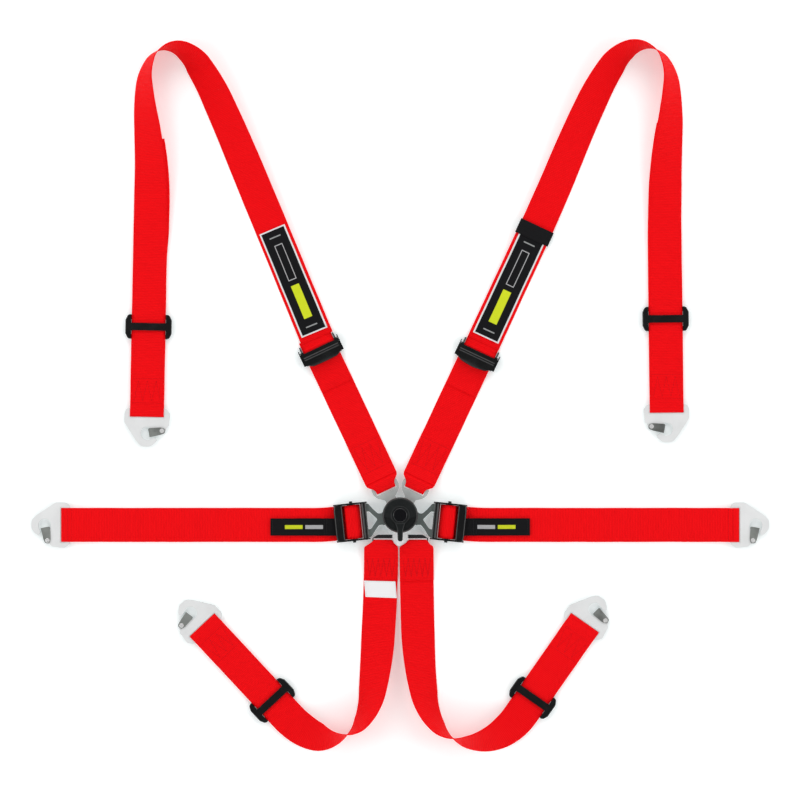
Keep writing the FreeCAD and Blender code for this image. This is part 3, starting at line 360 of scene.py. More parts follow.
RED = (0.90, 0.002, 0.005)
webbing = woven("webbing_red", RED)
thread_red = woven("thread_red", (0.70, 0.004, 0.008), 0.6, 0.4, 0.3, 99.0, 0.00005)
elastic = woven("elastic_black", (0.010, 0.010, 0.011), 1.6, 0.9, 0.2, 10.0, 0.0003, 0.1)
thread_black = woven("thread_black", (0.02, 0.02, 0.022), 0.6, 0.4, 0.3, 99.0, 0.00005, 0.1)
thread_white = woven("thread_white", (0.75, 0.75, 0.76), 0.6, 0.4, 0.2, 99.0, 0.00005, 0.1)
label_cloth = woven("label_white", (0.84, 0.84, 0.85), 0.5, 0.5, 0.05, 99.0, 0.00004, 0.1)
satin_black = coated("satin_black", (0.006, 0.0063, 0.0066), 0.20, 0.30, wear=0.5)
knob_plastic = coated("knob_plastic", (0.006, 0.0075, 0.0075), 0.26, 0.38, 2600.0, 0.00009)
gloss_cap = coated("gloss_cap", (0.004, 0.004, 0.005), 0.07, 0.12, 300.0, 0.00001,
                   Coat_Weight=0.8, Coat_Roughness=0.05)
bright_metal = metal("bright_metal", (0.88, 0.88, 0.88), 0.20, 0.30, metallic=0.5)
# edge below 1 on the tongue, zinc and gate steel paints shade on the sides of the plates
tongue_steel = metal("tongue_steel", (0.62, 0.64, 0.63), 0.30, 0.46, (1.0, 6.0, 1.0), metallic=0.5,
                     edge=0.4)
tongue_dark = metal("tongue_dark", (0.19, 0.22, 0.21), 0.34, 0.52, metallic=0.8)
zinc = metal("zinc_plate", (0.87, 0.88, 0.88), 0.30, 0.48, blotch=0.95, metallic=0.35, edge=0.2)
gate_steel = metal("gate_steel", (0.40, 0.42, 0.40), 0.28, 0.46, blotch=0.45, metallic=0.8, edge=0.5)
inner_steel = metal("inner_steel", (0.50, 0.51, 0.52), 0.25, 0.40)
cast_alloy = metal("cast_alloy", (0.20, 0.20, 0.21), 0.40, 0.60, depth=0.0001)


def patch_cloth():
    """Black woven patch: white frame line and plain grey and yellow-green bars."""
    black = CLOTH_BLACK
    s = Surface("patch_black", black, 0.55)
    s.set("Specular IOR Level", 0.08)
    along, across = s.flat()
    off = s.math("ABSOLUTE", s.math("SUBTRACT", along, PATCH_LENGTH / 2))
    wide = s.math("ABSOLUTE", across)
    frame_line = s.math("MAXIMUM", s.inside(off, PATCH_LENGTH / 2 - 2.0, PATCH_LENGTH / 2 + 2.0),
                        s.inside(wide, 18.5, 23.0))
    bars = s.math("MULTIPLY", s.inside(wide, -1.0, 6.5), s.inside(along, 24.0, 76.0))
    green = s.mix(bars, black, YELLOW_GREEN)
    ring = s.math("MULTIPLY", s.inside(wide, -1.0, 6.5), s.inside(along, 84.0, 140.0))
    core = s.math("MULTIPLY", s.inside(wide, -1.0, 5.4), s.inside(along, 85.2, 138.8))
    tone = s.mix(s.math("SUBTRACT", ring, core), green, (0.45, 0.45, 0.46))
    ends = s.math("MULTIPLY", s.inside(wide, -1.0, 9.0),
                  s.math("MAXIMUM", s.inside(along, 10.5, 12.3), s.inside(along, 151.0, 152.8)))
    tone = s.mix(ends, tone, (0.30, 0.31, 0.31))
    tone = s.mix(frame_line, tone, (0.78, 0.78, 0.79))
    weave = s.math("MULTIPLY", s.wave(along, 0.9), s.wave(across, 0.9))
    s.paint(s.mix(s.math("MULTIPLY", s.step(weave, 0.0, 1.0), 0.18), tone, (0.02, 0.02, 0.021)))
    raised = s.math("ADD", s.math("MULTIPLY", weave, 0.3), s.math("MAXIMUM", frame_line, bars))
    s.bump(raised, 0.00022)
    return s


def tab_tape():
    """Black pull tape with a plain grey and yellow-green bar woven in."""
    black = CLOTH_BLACK
    s = Surface("pull_tape", black, 0.6)
    s.set("Specular IOR Level", 0.08)
    along, across = s.flat()
    wide = s.math("ABSOLUTE", across)
    band = s.inside(wide, -1.0, 3.0)
    grey = s.math("MULTIPLY", band, s.inside(along, 24.0, 50.0))
    green = s.math("MULTIPLY", band, s.inside(along, 54.0, 80.0))
    tone = s.mix(grey, black, (0.42, 0.42, 0.43))
    tone = s.mix(green, tone, (0.60, 0.66, 0.02))
    ribs = s.wave(along, 1.3)
    weave = s.math("MULTIPLY", ribs, s.wave(across, 1.0))
    s.paint(s.mix(s.math("MULTIPLY", s.step(weave, 0.0, 1.0), 0.2), tone, (0.02, 0.02, 0.021)))
    s.bump(s.math("ADD", ribs, s.math("MAXIMUM", grey, green)), 0.00018)
    return s


def reflection_painted_steel():
    """Crotch tongue steel with painted reflections: painted bright on the neck, painted dark on the two bars."""
    s = metal("tongue_plated", (0.09, 0.09, 0.095), 0.14, 0.26)
    split = s.node("ShaderNodeSeparateXYZ")
    s.link(s.node("ShaderNodeTexCoord").outputs["Object"], split.inputs[0])
    neck = s.inside(s.math("ABSOLUTE", split.outputs[0]), -1.0, NECK_HALF, 0.0012)
    # painted reflection: the same steel is coloured light on the neck and dark on the bars
    s.paint(s.mix(neck, (0.12, 0.12, 0.125), (0.97, 0.97, 0.97)))
    s.link(s.math("SUBTRACT", 0.9, s.math("MULTIPLY", neck, 0.75)), s.shader.inputs["Metallic"])
    return s


crotch_steel = reflection_painted_steel()
patch_black = patch_cloth()
pull_tape = tab_tape()

# ------------------------------------------------------------------ hard parts from the CAD
SLOT_OF = {s["node"]: s["material_slot"] for s in frame["record"]["subparts"]}
WELD = 2e-6               # metres: corners closer than this are one corner
FLAT_ANGLE = 0.6          # degrees: faces that turn less than this are merged
SHARP_ANGLE = 38.0        # degrees: edges that turn more than this are rounded off
SMOOTH_ANGLE = 30.0
# Widths of the rounded edges, in millimetres
KNOB_EDGE, CAP_EDGE, TONGUE_EDGE, BAR_EDGE = 0.5, 0.3, 0.4, 0.5
HOOK_EDGE, GATE_EDGE, PIN_EDGE, LOCK_EDGE = 1.0, 0.35, 0.2, 0.4


def smooth(piece, angle):
    """Smooth shading, broken at edges that turn more than the angle, in degrees."""
    mesh = piece.data
    mesh.polygons.foreach_set("use_smooth", [True] * len(mesh.polygons))
    mesh.set_sharp_from_angle(angle=math.radians(angle))
    weighted = piece.modifiers.new("weighted", "WEIGHTED_NORMAL")
    weighted.keep_sharp = True


def polished(node, width, surface):
    """The CAD part again with its sharp edges rounded off."""
    source = frame["nodes"][node]
    mesh = source.data.copy()
    bm = bmesh.new()
    bm.from_mesh(mesh)
    bmesh.ops.remove_doubles(bm, verts=bm.verts, dist=WELD)
    bmesh.ops.dissolve_limit(bm, angle_limit=math.radians(FLAT_ANGLE), verts=bm.verts, edges=bm.edges)
    turned = math.radians(SHARP_ANGLE)
    sharp = [e for e in bm.edges if len(e.link_faces) == 2 and e.calc_face_angle() > turned]
    bmesh.ops.bevel(bm, geom=sharp, offset=width * MM, segments=2, profile=0.6, affect="EDGES",
                    clamp_overlap=True)
    bmesh.ops.recalc_face_normals(bm, faces=bm.faces)
    bm.to_mesh(mesh)
    bm.free()
    mesh.materials.clear()
    mesh.materials.append(surface.material)
    piece = bpy.data.objects.new(node + "_finished", mesh)
    bpy.context.scene.collection.objects.link(piece)
    smooth(piece, SMOOTH_ANGLE)
    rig.ride(piece, source["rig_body"])
    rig.replaces(piece, node)
    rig.slot(piece, SLOT_OF[node])
    return piece


def dress(node, surface):
    """Give a CAD node that keeps its shape a finished material."""
    materials = frame["nodes"][node].data.materials
    materials.clear()
    materials.append(surface.material)


dress("buckle_housing", cast_alloy)
dress("buckle_back_cover", satin_black)
for inner in ("buckle_screws", "spindle", "return_spring", "cam_plate", "latch_plungers"):
    dress(inner, inner_steel)
polished("rotary_knob", KNOB_EDGE, knob_plastic)
polished("knob_cap", CAP_EDGE, gloss_cap)
polished("crotch_tongue", TONGUE_EDGE, crotch_steel)
for side in SIDES:
    shoulder, lap, crotch = "shoulder_" + side, "lap_" + side, "crotch_" + side
    polished(shoulder + "_tongue", TONGUE_EDGE, tongue_steel)
    polished(lap + "_tongue", TONGUE_EDGE, tongue_dark)
    polished(shoulder + "_adjuster_frame", BAR_EDGE, satin_black)
    polished(shoulder + "_lock_bar", LOCK_EDGE, satin_black)
    polished(lap + "_adjuster_frame", BAR_EDGE, satin_black)
    polished(lap + "_lock_bar", LOCK_EDGE, satin_black)
    for strap in (shoulder, lap, crotch):
        polished(strap + "_hook", HOOK_EDGE, zinc)
        polished(strap + "_gate", GATE_EDGE, gate_steel)
    for strap in (shoulder, crotch):
        polished(strap + "_slider", BAR_EDGE, satin_black)
    for strap in (shoulder, lap):
        polished(strap + "_gate_pin", PIN_EDGE, bright_metal)
polished("crotch_gate_pins", PIN_EDGE, bright_metal)

# ------------------------------------------------------------------ routes of the bent straps
# Rows: length in millimetres, turn to the left and roll in degrees, as in the CAD model.
ROUTES = {
    "shoulder_left": ((-114.2, 239.9), 112.4, (
        (303, 0, -16), (96, 2, -10), (60, 9, -14), (32, 30, -22), (28, 46, -28), (24, 42, -16),
        (38, 28, -16), (60, 8, -20), (90, -8, -24), (100, -0.5, -14), (240, 0, 0))),
    "shoulder_right": ((112.9, 232.6), 65.2, (
        (201, 0, 8), (120, 2.5, 8), (92, -3, 10), (60, -9, 14), (34, -29, 22), (30, -44, 28),
        (26, -42, 16), (40, -29, 16), (60, -8, 20), (90, 5, 24), (100, 2, 14), (234, 0, 0))),
    "crotch_right": ((24.0, -44.5), -90.0, (
        (133, 2, -12), (86, 8, -26), (30, 16, -16), (24, 14, -14), (22, 22, -22), (20, 19, -22),
        (30, 22, -24), (35, 24, -24), (35, 18, -20), (163, 0, 0))),
    "crotch_left": ((-28.0, -44.5), -90.0, (
        (53, -1.5, 0), (90, -2.5, 12), (74, -5, 26), (28, -14, 16), (22, -14, 14), (20, -24, 22),
        (20, -18, 26), (24, -24, 34), (30, -22, 20), (30, -12, 10), (183, 0, 0))),
}
HALF_WIDTH = 25.0         # half the webbing's width
WEB = 1.3                 # drawn thickness of one layer of webbing
SINGLE, DOUBLED = 1.4, 2.9    # height taken up by one layer and by two
LAYER = 0.75              # centre of a layer from the middle of a doubled strap
SELVEDGE = 0.45           # how far the rounded selvedge stands out
FLOOR_GAP = 0.1
HOOK_LOOP = 60.0          # end of a route where the strap turns round its hook
SLIDER_STRAP_Z = 2.8      # lowest edge of a strap that lies in a slider
SHOULDER_UNDER = {"left": 407.0, "right": 424.0}    # length doubled back from the hook
CROTCH_UNDER = {"left": 195.0, "right": 176.0}
NEAR_START, NEAR_END = 21.5, 150.0                  # shoulder strap that bends at the adjuster
PATCH_START, PATCH_END = 30.0, 194.0
KEEPER_START, KEEPER_END = 190.0, 212.0
TAB_MIDDLE = 90.0         # from the hinge rod
TAB_HALF, TAB_THICKNESS = 12.7, 1.8
PATCH_THICKNESS, LABEL_THICKNESS = 1.1, 0.35


def joint_place(name):
    place = next(j for j in frame["joints"] if j["name"] == name)["pos_m"]
    return Vector(place) / MM


def lap_route(side):
    """Start, heading and rows of a lap strap, from where its hinge rod is."""
    pin = joint_place(f"lap_{side}_swivel")
    rod = joint_place(f"lap_{side}_tilt")
    pin.z = rod.z = 0.0
    outward = (rod - pin).normalized()
    start = rod + outward * 47.0
    sign = 1 if side == "right" else -1
    heading = math.degrees(math.atan2(outward.y, outward.x))
    return (start.x, start.y), heading, ((30, 6.0 * sign, 0), (372, 0, 0))


for side in SIDES:
    ROUTES["lap_" + side] = lap_route(side)


def route_length(route):
    return sum(row[0] for row in ROUTES[route][2])


def route_point(route, distance):
    """x, y, heading and roll in radians, at a distance along a route."""
    (x, y), heading, rows = ROUTES[route]
    heading = math.radians(heading)
    roll = 0.0
    left = distance
    for length, turn, roll_change in rows:
        part = min(left, length)
        bend = math.radians(turn) / length
        if abs(bend) < 1e-9:
            x += part * math.cos(heading)
            y += part * math.sin(heading)
        else:
            x += (math.sin(heading + bend * part) - math.sin(heading)) / bend
            y -= (math.cos(heading + bend * part) - math.cos(heading)) / bend
        heading += bend * part
        roll += math.radians(roll_change) * part / length
        left -= part
        if left <= 0:
            break
    return x, y, heading, roll


def level(profile, distance):
    """Value read from (distance, value) points, eased between them."""
    if distance <= profile[0][0]:
        return profile[0][1]
    for (d0, v0), (d1, v1) in zip(profile, profile[1:]):
        if distance <= d1:
            t = (distance - d0) / (d1 - d0)
            return v0 + (v1 - v0) * t * t * (3 - 2 * t)
    return profile[-1][1]


def spaced(start, end, step):
    count = max(1, math.ceil(abs(end - start) / step))
    return [start + (end - start) * i / count for i in range(count + 1)]


def along_route(route, start, end, base, thick, layer, half=HALF_WIDTH, shift=((0, 0.0),), step=5.0):
    """Frames (centre, across, tangent, half width) along a route. base is the height of the
    strap's lowest edge, thick its whole thickness, layer this layer's offset towards the normal."""
    frames = []
    way = 1 if end > start else -1
    for s in spaced(start, end, step):
        x, y, heading, roll = route_point(route, s)
        ahead = Vector((math.cos(heading), math.sin(heading), 0))
        side = UP.cross(ahead)
        across = side * math.cos(roll) + UP * math.sin(roll)
        normal = UP * math.cos(roll) - side * math.sin(roll)
        t = level(thick, s)
        lift = abs(math.sin(roll)) * HALF_WIDTH + abs(math.cos(roll)) * t / 2
        centre = Vector((x, y, level(base, s) + lift)) + normal * level(layer, s)
        centre += across * level(shift, s)
        frames.append((centre, across, ahead * way, half))
    return frames


def rounded_line(points, step=4.0):
    """Points (x, z, corner radius) as a line of closely spaced points with round corners."""
    places = [Vector((x, z)) for x, z, radius in points]
    line = [places[0]]
    for i in range(1, len(points) - 1):
        p, radius = places[i], points[i][2]
        back = (places[i - 1] - p).normalized()
        ahead = (places[i + 1] - p).normalized()
        half = back.angle(ahead) / 2
        if radius <= 0 or half > math.radians(89.5):
            line.append(p)
            continue
        reach = min(radius / math.tan(half), (places[i - 1] - p).length * 0.49,
                    (places[i + 1] - p).length * 0.49)
        a, b = p + back * reach, p + ahead * reach
        for k in range(7):
            t = k / 6
            line.append(a * (1 - t) ** 2 + p * (2 * t * (1 - t)) + b * t ** 2)
    line.append(places[-1])
    fine = [line[0]]
    for a, b in zip(line, line[1:]):
        count = max(1, math.ceil((b - a).length / step))
        fine += [a.lerp(b, k / count) for k in range(1, count + 1)]
    return fine


def along_line(points, origin, outward, across, half=lambda x: HALF_WIDTH, centre_shift=lambda x: 0.0):
    """Frames along an upright (x, z) line that starts at origin and runs outward."""
    line = rounded_line(points)
    frames = []
    for i, p in enumerate(line):
        ahead = line[min(i + 1, len(line) - 1)] - line[max(i - 1, 0)]
        ahead.normalize()
        tangent = outward * ahead.x + UP * ahead.y
        centre = origin + outward * p.x + UP * p.y + across * centre_shift(p.x)
        frames.append((centre, across, tangent, half(p.x)))
    return frames


def distances(frames):
    total = [0.0]
    for a, b in zip(frames, frames[1:]):
        total.append(total[-1] + (b[0] - a[0]).length)
    return total


def link(piece):
    bpy.context.scene.collection.objects.link(piece)
    return piece


def strip(name, frames, surface, slot, thickness=WEB, start_u=0.0, full=HALF_WIDTH, columns=10):
    """A strip of webbing through the frames, with rounded selvedges and an even UV map."""
    h = thickness / 2
    ring = []                     # share of the width, height, and selvedge bulge
    for face in (1.0, -1.0):
        for k in range(columns + 1):
            ring.append((face * (-1.0 + 2.0 * k / columns), face * h, 0.0))
        for height, bulge in ((0.62, 0.30), (0.0, SELVEDGE), (-0.62, 0.30)):
            ring.append((face, face * h * height, face * bulge))
    lengths = distances(frames)
    bm = bmesh.new()
    uv_layer = bm.loops.layers.uv.new("UVMap")
    rows = []
    for (centre, across, tangent, half), s in zip(frames, lengths):
        normal = tangent.cross(across).normalized()
        row = []
        for a, n, bulge in ring:  # woven edges are never quite straight
            sway = 0.18 * math.sin((s + start_u) / 37.0 + a) + 0.1 * math.sin((s + start_u) / 11.0)
            place = centre + across * (a * (half - SELVEDGE) + bulge) + normal * n
            row.append(bm.verts.new((place + across * sway * 0.6) * MM))
        rows.append(row)
    count = len(ring)
    for i in range(len(rows) - 1):
        for j in range(count):
            k = (j + 1) % count
            face = bm.faces.new((rows[i][j], rows[i][k], rows[i + 1][k], rows[i + 1][j]))
            face.smooth = True
            for loop, (row, col) in zip(face.loops, ((i, j), (i, k), (i + 1, k), (i + 1, j))):
                loop[uv_layer].uv = (lengths[row] + start_u, ring[col][0] * full)
    for row, s in ((rows[0], lengths[0]), (rows[-1], lengths[-1])):
        cap = bm.faces.new(row)
        for loop, (a, n, bulge) in zip(cap.loops, ring):
            loop[uv_layer].uv = (s + start_u, a * full)
    bmesh.ops.recalc_face_normals(bm, faces=bm.faces)
    mesh = bpy.data.meshes.new(name)
    bm.to_mesh(mesh)
    bm.free()
    mesh.materials.append(surface.material)
    piece = link(bpy.data.objects.new(name, mesh))
    mesh.set_sharp_from_angle(angle=math.radians(60))
    if slot:
        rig.slot(piece, slot)
    return piece


def laid(piece, frames, width=2 * HALF_WIDTH * MM, rests_on=(), held="laid"):
    """Declare a strip as cloth of its cut size."""
    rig.sheet(piece, flat=(width, round(distances(frames)[-1] * MM, 3)), held=held, rests_on=rests_on)


class Stitches:
    """Thread laid on a strip, one small raised stitch after another."""

    def __init__(self):
        self.bm = bmesh.new()

    def one(self, a, b, normal, width=0.42, height=0.28):
        """One stitch from a to b: a rounded diamond section, thin at its ends."""
        ahead = (b - a).normalized()
        side = normal.cross(ahead).normalized()
        length = (b - a).length
        rings = []
        for t, k in ((0.0, 0.35), (0.25, 1.0), (0.75, 1.0), (1.0, 0.35)):
            middle = a + ahead * length * t
            rings.append([self.bm.verts.new((middle + side * width * k * c + normal * height * k * n) * MM)
                          for c, n in ((-1, 0.0), (0, 1.0), (1, 0.0), (0, -0.6))])
        for near, far in zip(rings, rings[1:]):
            for j in range(4):
                k = (j + 1) % 4
                self.bm.faces.new((near[j], near[k], far[k], far[j]))
        self.bm.faces.new(rings[0][::-1])
        self.bm.faces.new(rings[-1])

    def line(self, frames, marks, face, thickness=WEB, stitch=3.0, gap=0.7):
        """Stitch along marks, a line of (distance, across) points on one face of a strip."""
        lengths = distances(frames)

        def place(s, a):
            i = 0
            while i < len(lengths) - 2 and lengths[i + 1] < s:
                i += 1
            t = (s - lengths[i]) / (lengths[i + 1] - lengths[i])
            centre = frames[i][0].lerp(frames[i + 1][0], t)
            across = frames[i][1].lerp(frames[i + 1][1], t).normalized()
            tangent = frames[i][2].lerp(frames[i + 1][2], t).normalized()
            normal = tangent.cross(across).normalized() * face
            return centre + across * a + normal * thickness / 2, normal

        for (s0, a0), (s1, a1) in zip(marks, marks[1:]):
            length = math.hypot(s1 - s0, a1 - a0)
            count = max(1, round(length / (stitch + gap)))
            for k in range(count):
                t0 = (k + 0.1) / count
                t1 = (k + 0.1 + stitch / (stitch + gap)) / count
                p, normal = place(s0 + (s1 - s0) * t0, a0 + (a1 - a0) * t0)
                q, normal_q = place(s0 + (s1 - s0) * t1, a0 + (a1 - a0) * t1)
                self.one(p, q, (normal + normal_q).normalized())

    def finish(self, name, surface, slot):
        """All the stitches as one piece."""
        bmesh.ops.recalc_face_normals(self.bm, faces=self.bm.faces)
        mesh = bpy.data.meshes.new(name)
        self.bm.to_mesh(mesh)
        self.bm.free()
        mesh.polygons.foreach_set("use_smooth", [True] * len(mesh.polygons))
        mesh.materials.append(surface.material)
        piece = link(bpy.data.objects.new(name, mesh))
        if slot:
            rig.slot(piece, slot)
        return piece


def zigzag(s0, s1, half, strokes):
    """Marks of a W-shaped tack that fills a strip's width."""
    return [(s0 if k % 2 else s1, -half + 2 * half * k / strokes) for k in range(strokes + 1)]


def border(s0, s1, half):
    """Marks of a seam round a rectangle."""
    return [(s0, -half), (s1, -half), (s1, half), (s0, half), (s0, -half)]

# ------------------------------------------------------------------ webbing


def body_axis(joint, reach_joint):
    """Place of a joint on the floor, and the level direction from it to another joint."""
    start, end = joint_place(joint), joint_place(reach_joint)
    outward = end - start
    outward.z = 0.0
    origin = Vector((start.x, start.y, 0.0))
    return origin, outward.normalized()


def route_frame(route, distance, rolled):
    """Place, level direction and across direction at a distance along a route."""
    x, y, heading = route_point(route, distance)[:3]
    ahead = Vector((math.cos(heading), math.sin(heading), 0))
    side = UP.cross(ahead)
    return Vector((x, y, 0.0)), ahead, -side if rolled else side


def hook_frames(route, tail_top, rolled):
    """The webbing's turn round a hook's bar, from 60 mm before the route's end and back."""
    origin, ahead, across = route_frame(route, route_length(route), rolled)
    upper = tail_top - 0.7
    points = [(-HOOK_LOOP, upper, 0), (-17.0, 5.6, 9.0), (-2.2, 5.6, 2.1), (-2.2, 0.8, 2.1),
              (-17.0, 0.8, 0), (-HOOK_LOOP, upper - 2 * LAYER, 0)]
    return along_line(points, origin, ahead, across)


def hook_seams(sewn, route, base, thick, layer, loop, marks, half, face):
    """Cross seams on the upper face where the webbing is sewn back from its hook."""
    total = route_length(route)
    top = along_route(route, total - HOOK_LOOP - 50.0, total - HOOK_LOOP, base, thick, ((0, layer),))
    top += loop[1:len(loop) // 2]
    for mark in marks:
        sewn.line(top, [(mark, -half), (mark, half)], face)
    return top


def part_point(route, distance):
    x, y = route_point(route, distance)[:2]
    return (x * MM, y * MM, 0.0)


def lower_strap(side):
    """Doubled webbing from a shoulder tongue to its adjuster's pivot bar."""
    arm = f"shoulder_{side}_arm"
    origin, outward = body_axis(f"shoulder_{side}_swivel", f"shoulder_{side}_tilt")
    across = UP.cross(outward)
    pivot = joint_place(f"shoulder_{side}_tilt") - origin
    pivot.z = 0.0
    reach = pivot.length

    def half(x):
        return level(((31.0, 15.0), (32.0, 15.4), (43.5, 24.6), (45.5, 25.0)), x)

    points = [(108.0, 0.8, 0), (82.0, 0.8, 12.0), (60.0, 3.6, 8.0), (45.0, 5.5, 6.0),
              (37.0, 6.1, 4.0), (26.9, 6.1, 2.2), (26.9, 10.9, 2.2), (35.0, 11.5, 3.0),
              (41.6, 11.5, 1.5), (44.2, 8.4, 0.8), (46.4, 9.7, 1.5), (60.0, 5.1, 8.0), (82.0, 2.3, 12.0),
              (108.0, 2.3, 6.0), (117.0, 0.8, 6.0), (reach - 25.0, 0.8, 0), (reach - 10.0, 0.9, 3.0),
              (reach, 0.95, 4.0), (reach + 4.1, 2.0, 3.0), (reach + 4.1, 9.0, 4.0),
              (reach - 1.6, 9.0, 2.4), (reach - 7.0, 6.2, 2.0), (reach - 16.0, 4.4, 8.0),
              (reach - 27.0, 2.3, 6.0),
              (reach - 50.0, 2.3, 0)]
    frames = along_line(points, origin, outward, across, half)
    piece = strip(f"shoulder_{side}_lower_strap", frames, webbing, "webbing_red")
    laid(piece, frames, rests_on=[f"shoulder_{side}_tongue"])
    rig.ride(piece, arm)
    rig.replaces(piece, f"shoulder_{side}_lower_web")
    top = [f for f in frames if (f[0] - origin).dot(outward) > 46 and f[2].dot(outward) > 0.2]
    first = (top[0][0] - origin).dot(outward)
    sewn = Stitches()
    sewn.line(top, zigzag(66.0 - first, 100.0 - first, 19.0, 6), 1)
    sewn.line(top, [(62.0 - first, -22.0), (62.0 - first, 22.0)], 1)
    sewn.line(top, [(104.0 - first, -22.0), (104.0 - first, 22.0)], 1)
    back = [f for f in frames if (f[0] - origin).dot(outward) > reach - 55 and f[2].dot(outward) < -0.9]
    sewn.line(back, zigzag(3.0, 19.0, 20.0, 6), 1)
    piece = sewn.finish(f"shoulder_{side}_lower_stitching", thread_red, "webbing_red")
    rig.ride(piece, arm)


def shoulder_base(side, total):
    """Height of a shoulder strap's lowest edge along its route."""
    keeper = 1.7 if side == "right" else 0.0
    return ((30.0, 1.68), (75.0, FLOOR_GAP), (140.0, FLOOR_GAP), (188.0, FLOOR_GAP + keeper),
            (214.0, FLOOR_GAP + keeper), (272.0, FLOOR_GAP), (total - 300.0, FLOOR_GAP),
            (total - 225.0, SLIDER_STRAP_Z))


def upper_strap(side):
    """Shoulder webbing from its adjuster round the bend to the hook, and doubled back."""
    route = "shoulder_" + side
    arm, adjuster = route + "_arm", route + "_frame"
    total = route_length(route)
    joint = total - SHOULDER_UNDER[side]
    base = shoulder_base(side, total)
    thick = ((joint - 30.0, SINGLE), (joint, DOUBLED))
    near = along_route(route, NEAR_START, NEAR_END, base, thick, ((0, 0.0),))
    piece = strip(route + "_near_strap", near, webbing, "webbing_red")
    laid(piece, near, rests_on=["floor"])
    blend_ends = part_point(route, NEAR_START), part_point(route, NEAR_END)
    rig.blend(piece, adjuster, arm, *blend_ends)

    main = along_route(route, NEAR_END, total - HOOK_LOOP, base, thick,
                       ((joint - 30.0, 0.0), (joint, -LAYER)))
    loop = hook_frames(route, SLIDER_STRAP_Z + DOUBLED, True)
    lean = -3.5 if side == "left" else 0.0
    shift = ((joint, lean * 0.8), (joint + 80.0, lean), (total - 285.0, lean * 0.8),
             (total - 230.0, 0.0))
    under = along_route(route, total - HOOK_LOOP, joint, base, thick, ((0, LAYER),), shift=shift)
    far = main + loop[1:-1] + under
    piece = strip(route + "_far_strap", far, webbing, "webbing_red", start_u=NEAR_END - NEAR_START)
    laid(piece, far, rests_on=["floor", route + "_hook"])
    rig.ride(piece, arm)
    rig.replaces(piece, route + "_upper_web")

    sewn = Stitches()
    top = hook_seams(sewn, route, base, thick, -LAYER, loop, (52.0, 88.0), 22.0, -1)
    sewn.line(top, zigzag(55.0, 85.0, 19.5, 6), -1)
    piece = sewn.finish(route + "_hook_stitching", thread_red, "webbing_red")
    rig.ride(piece, arm)

    cover = along_route(route, PATCH_START, PATCH_END, base, thick,
                        ((0, SINGLE / 2 + 0.75),), half=PATCH_WIDTH / 2, step=4.0)
    piece = strip(route + "_cloth_patch", cover, patch_black, "patch_black", PATCH_THICKNESS,
                  full=PATCH_WIDTH / 2)
    laid(piece, cover, PATCH_WIDTH * MM, [route + "_near_strap", route + "_far_strap"])
    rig.blend(piece, adjuster, arm, *blend_ends)
    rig.replaces(piece, route + "_patch")
    sewn = Stitches()
    edge = border(1.1, distances(cover)[-1] - 1.1, 19.4)
    sewn.line(cover, edge, 1, thickness=PATCH_THICKNESS, stitch=1.9, gap=0.5)
    piece = sewn.finish(route + "_patch_stitching", thread_white, "patch_black")
    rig.blend(piece, adjuster, arm, *blend_ends)


def keeper(route="shoulder_right"):
    """Elastic band round the right shoulder strap, at the far end of its patch."""
    total = route_length(route)
    half = (KEEPER_END - KEEPER_START) / 2
    place = KEEPER_START + half
    middle = along_route(route, place - 0.5, place + 0.5, shoulder_base("right", total),
                         ((0, SINGLE),), ((0, 0.0),))[0]
    centre, across, ahead = middle[:3]
    normal = ahead.cross(across)
    outline = [(0.0, -1.55, 0), (26.0, -1.55, 1.2), (26.0, 2.75, 1.6), (-26.0, 2.75, 1.6),
               (-26.0, -1.55, 1.2), (-0.2, -1.55, 0)]
    frames = []
    line = rounded_line(outline, 3.0)
    for i, p in enumerate(line):
        step = line[min(i + 1, len(line) - 1)] - line[max(i - 1, 0)]
        tangent = (across * step.x + normal * step.y).normalized()
        frames.append((centre + across * p.x + normal * p.y, ahead, tangent, half))
    piece = strip("elastic_keeper", frames, elastic, "elastic_black", 1.0, full=half)
    laid(piece, frames, 2 * half * MM, ["shoulder_right_far_strap"], "stretched")
    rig.ride(piece, "shoulder_right_arm")
    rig.replaces(piece, "keeper_band")


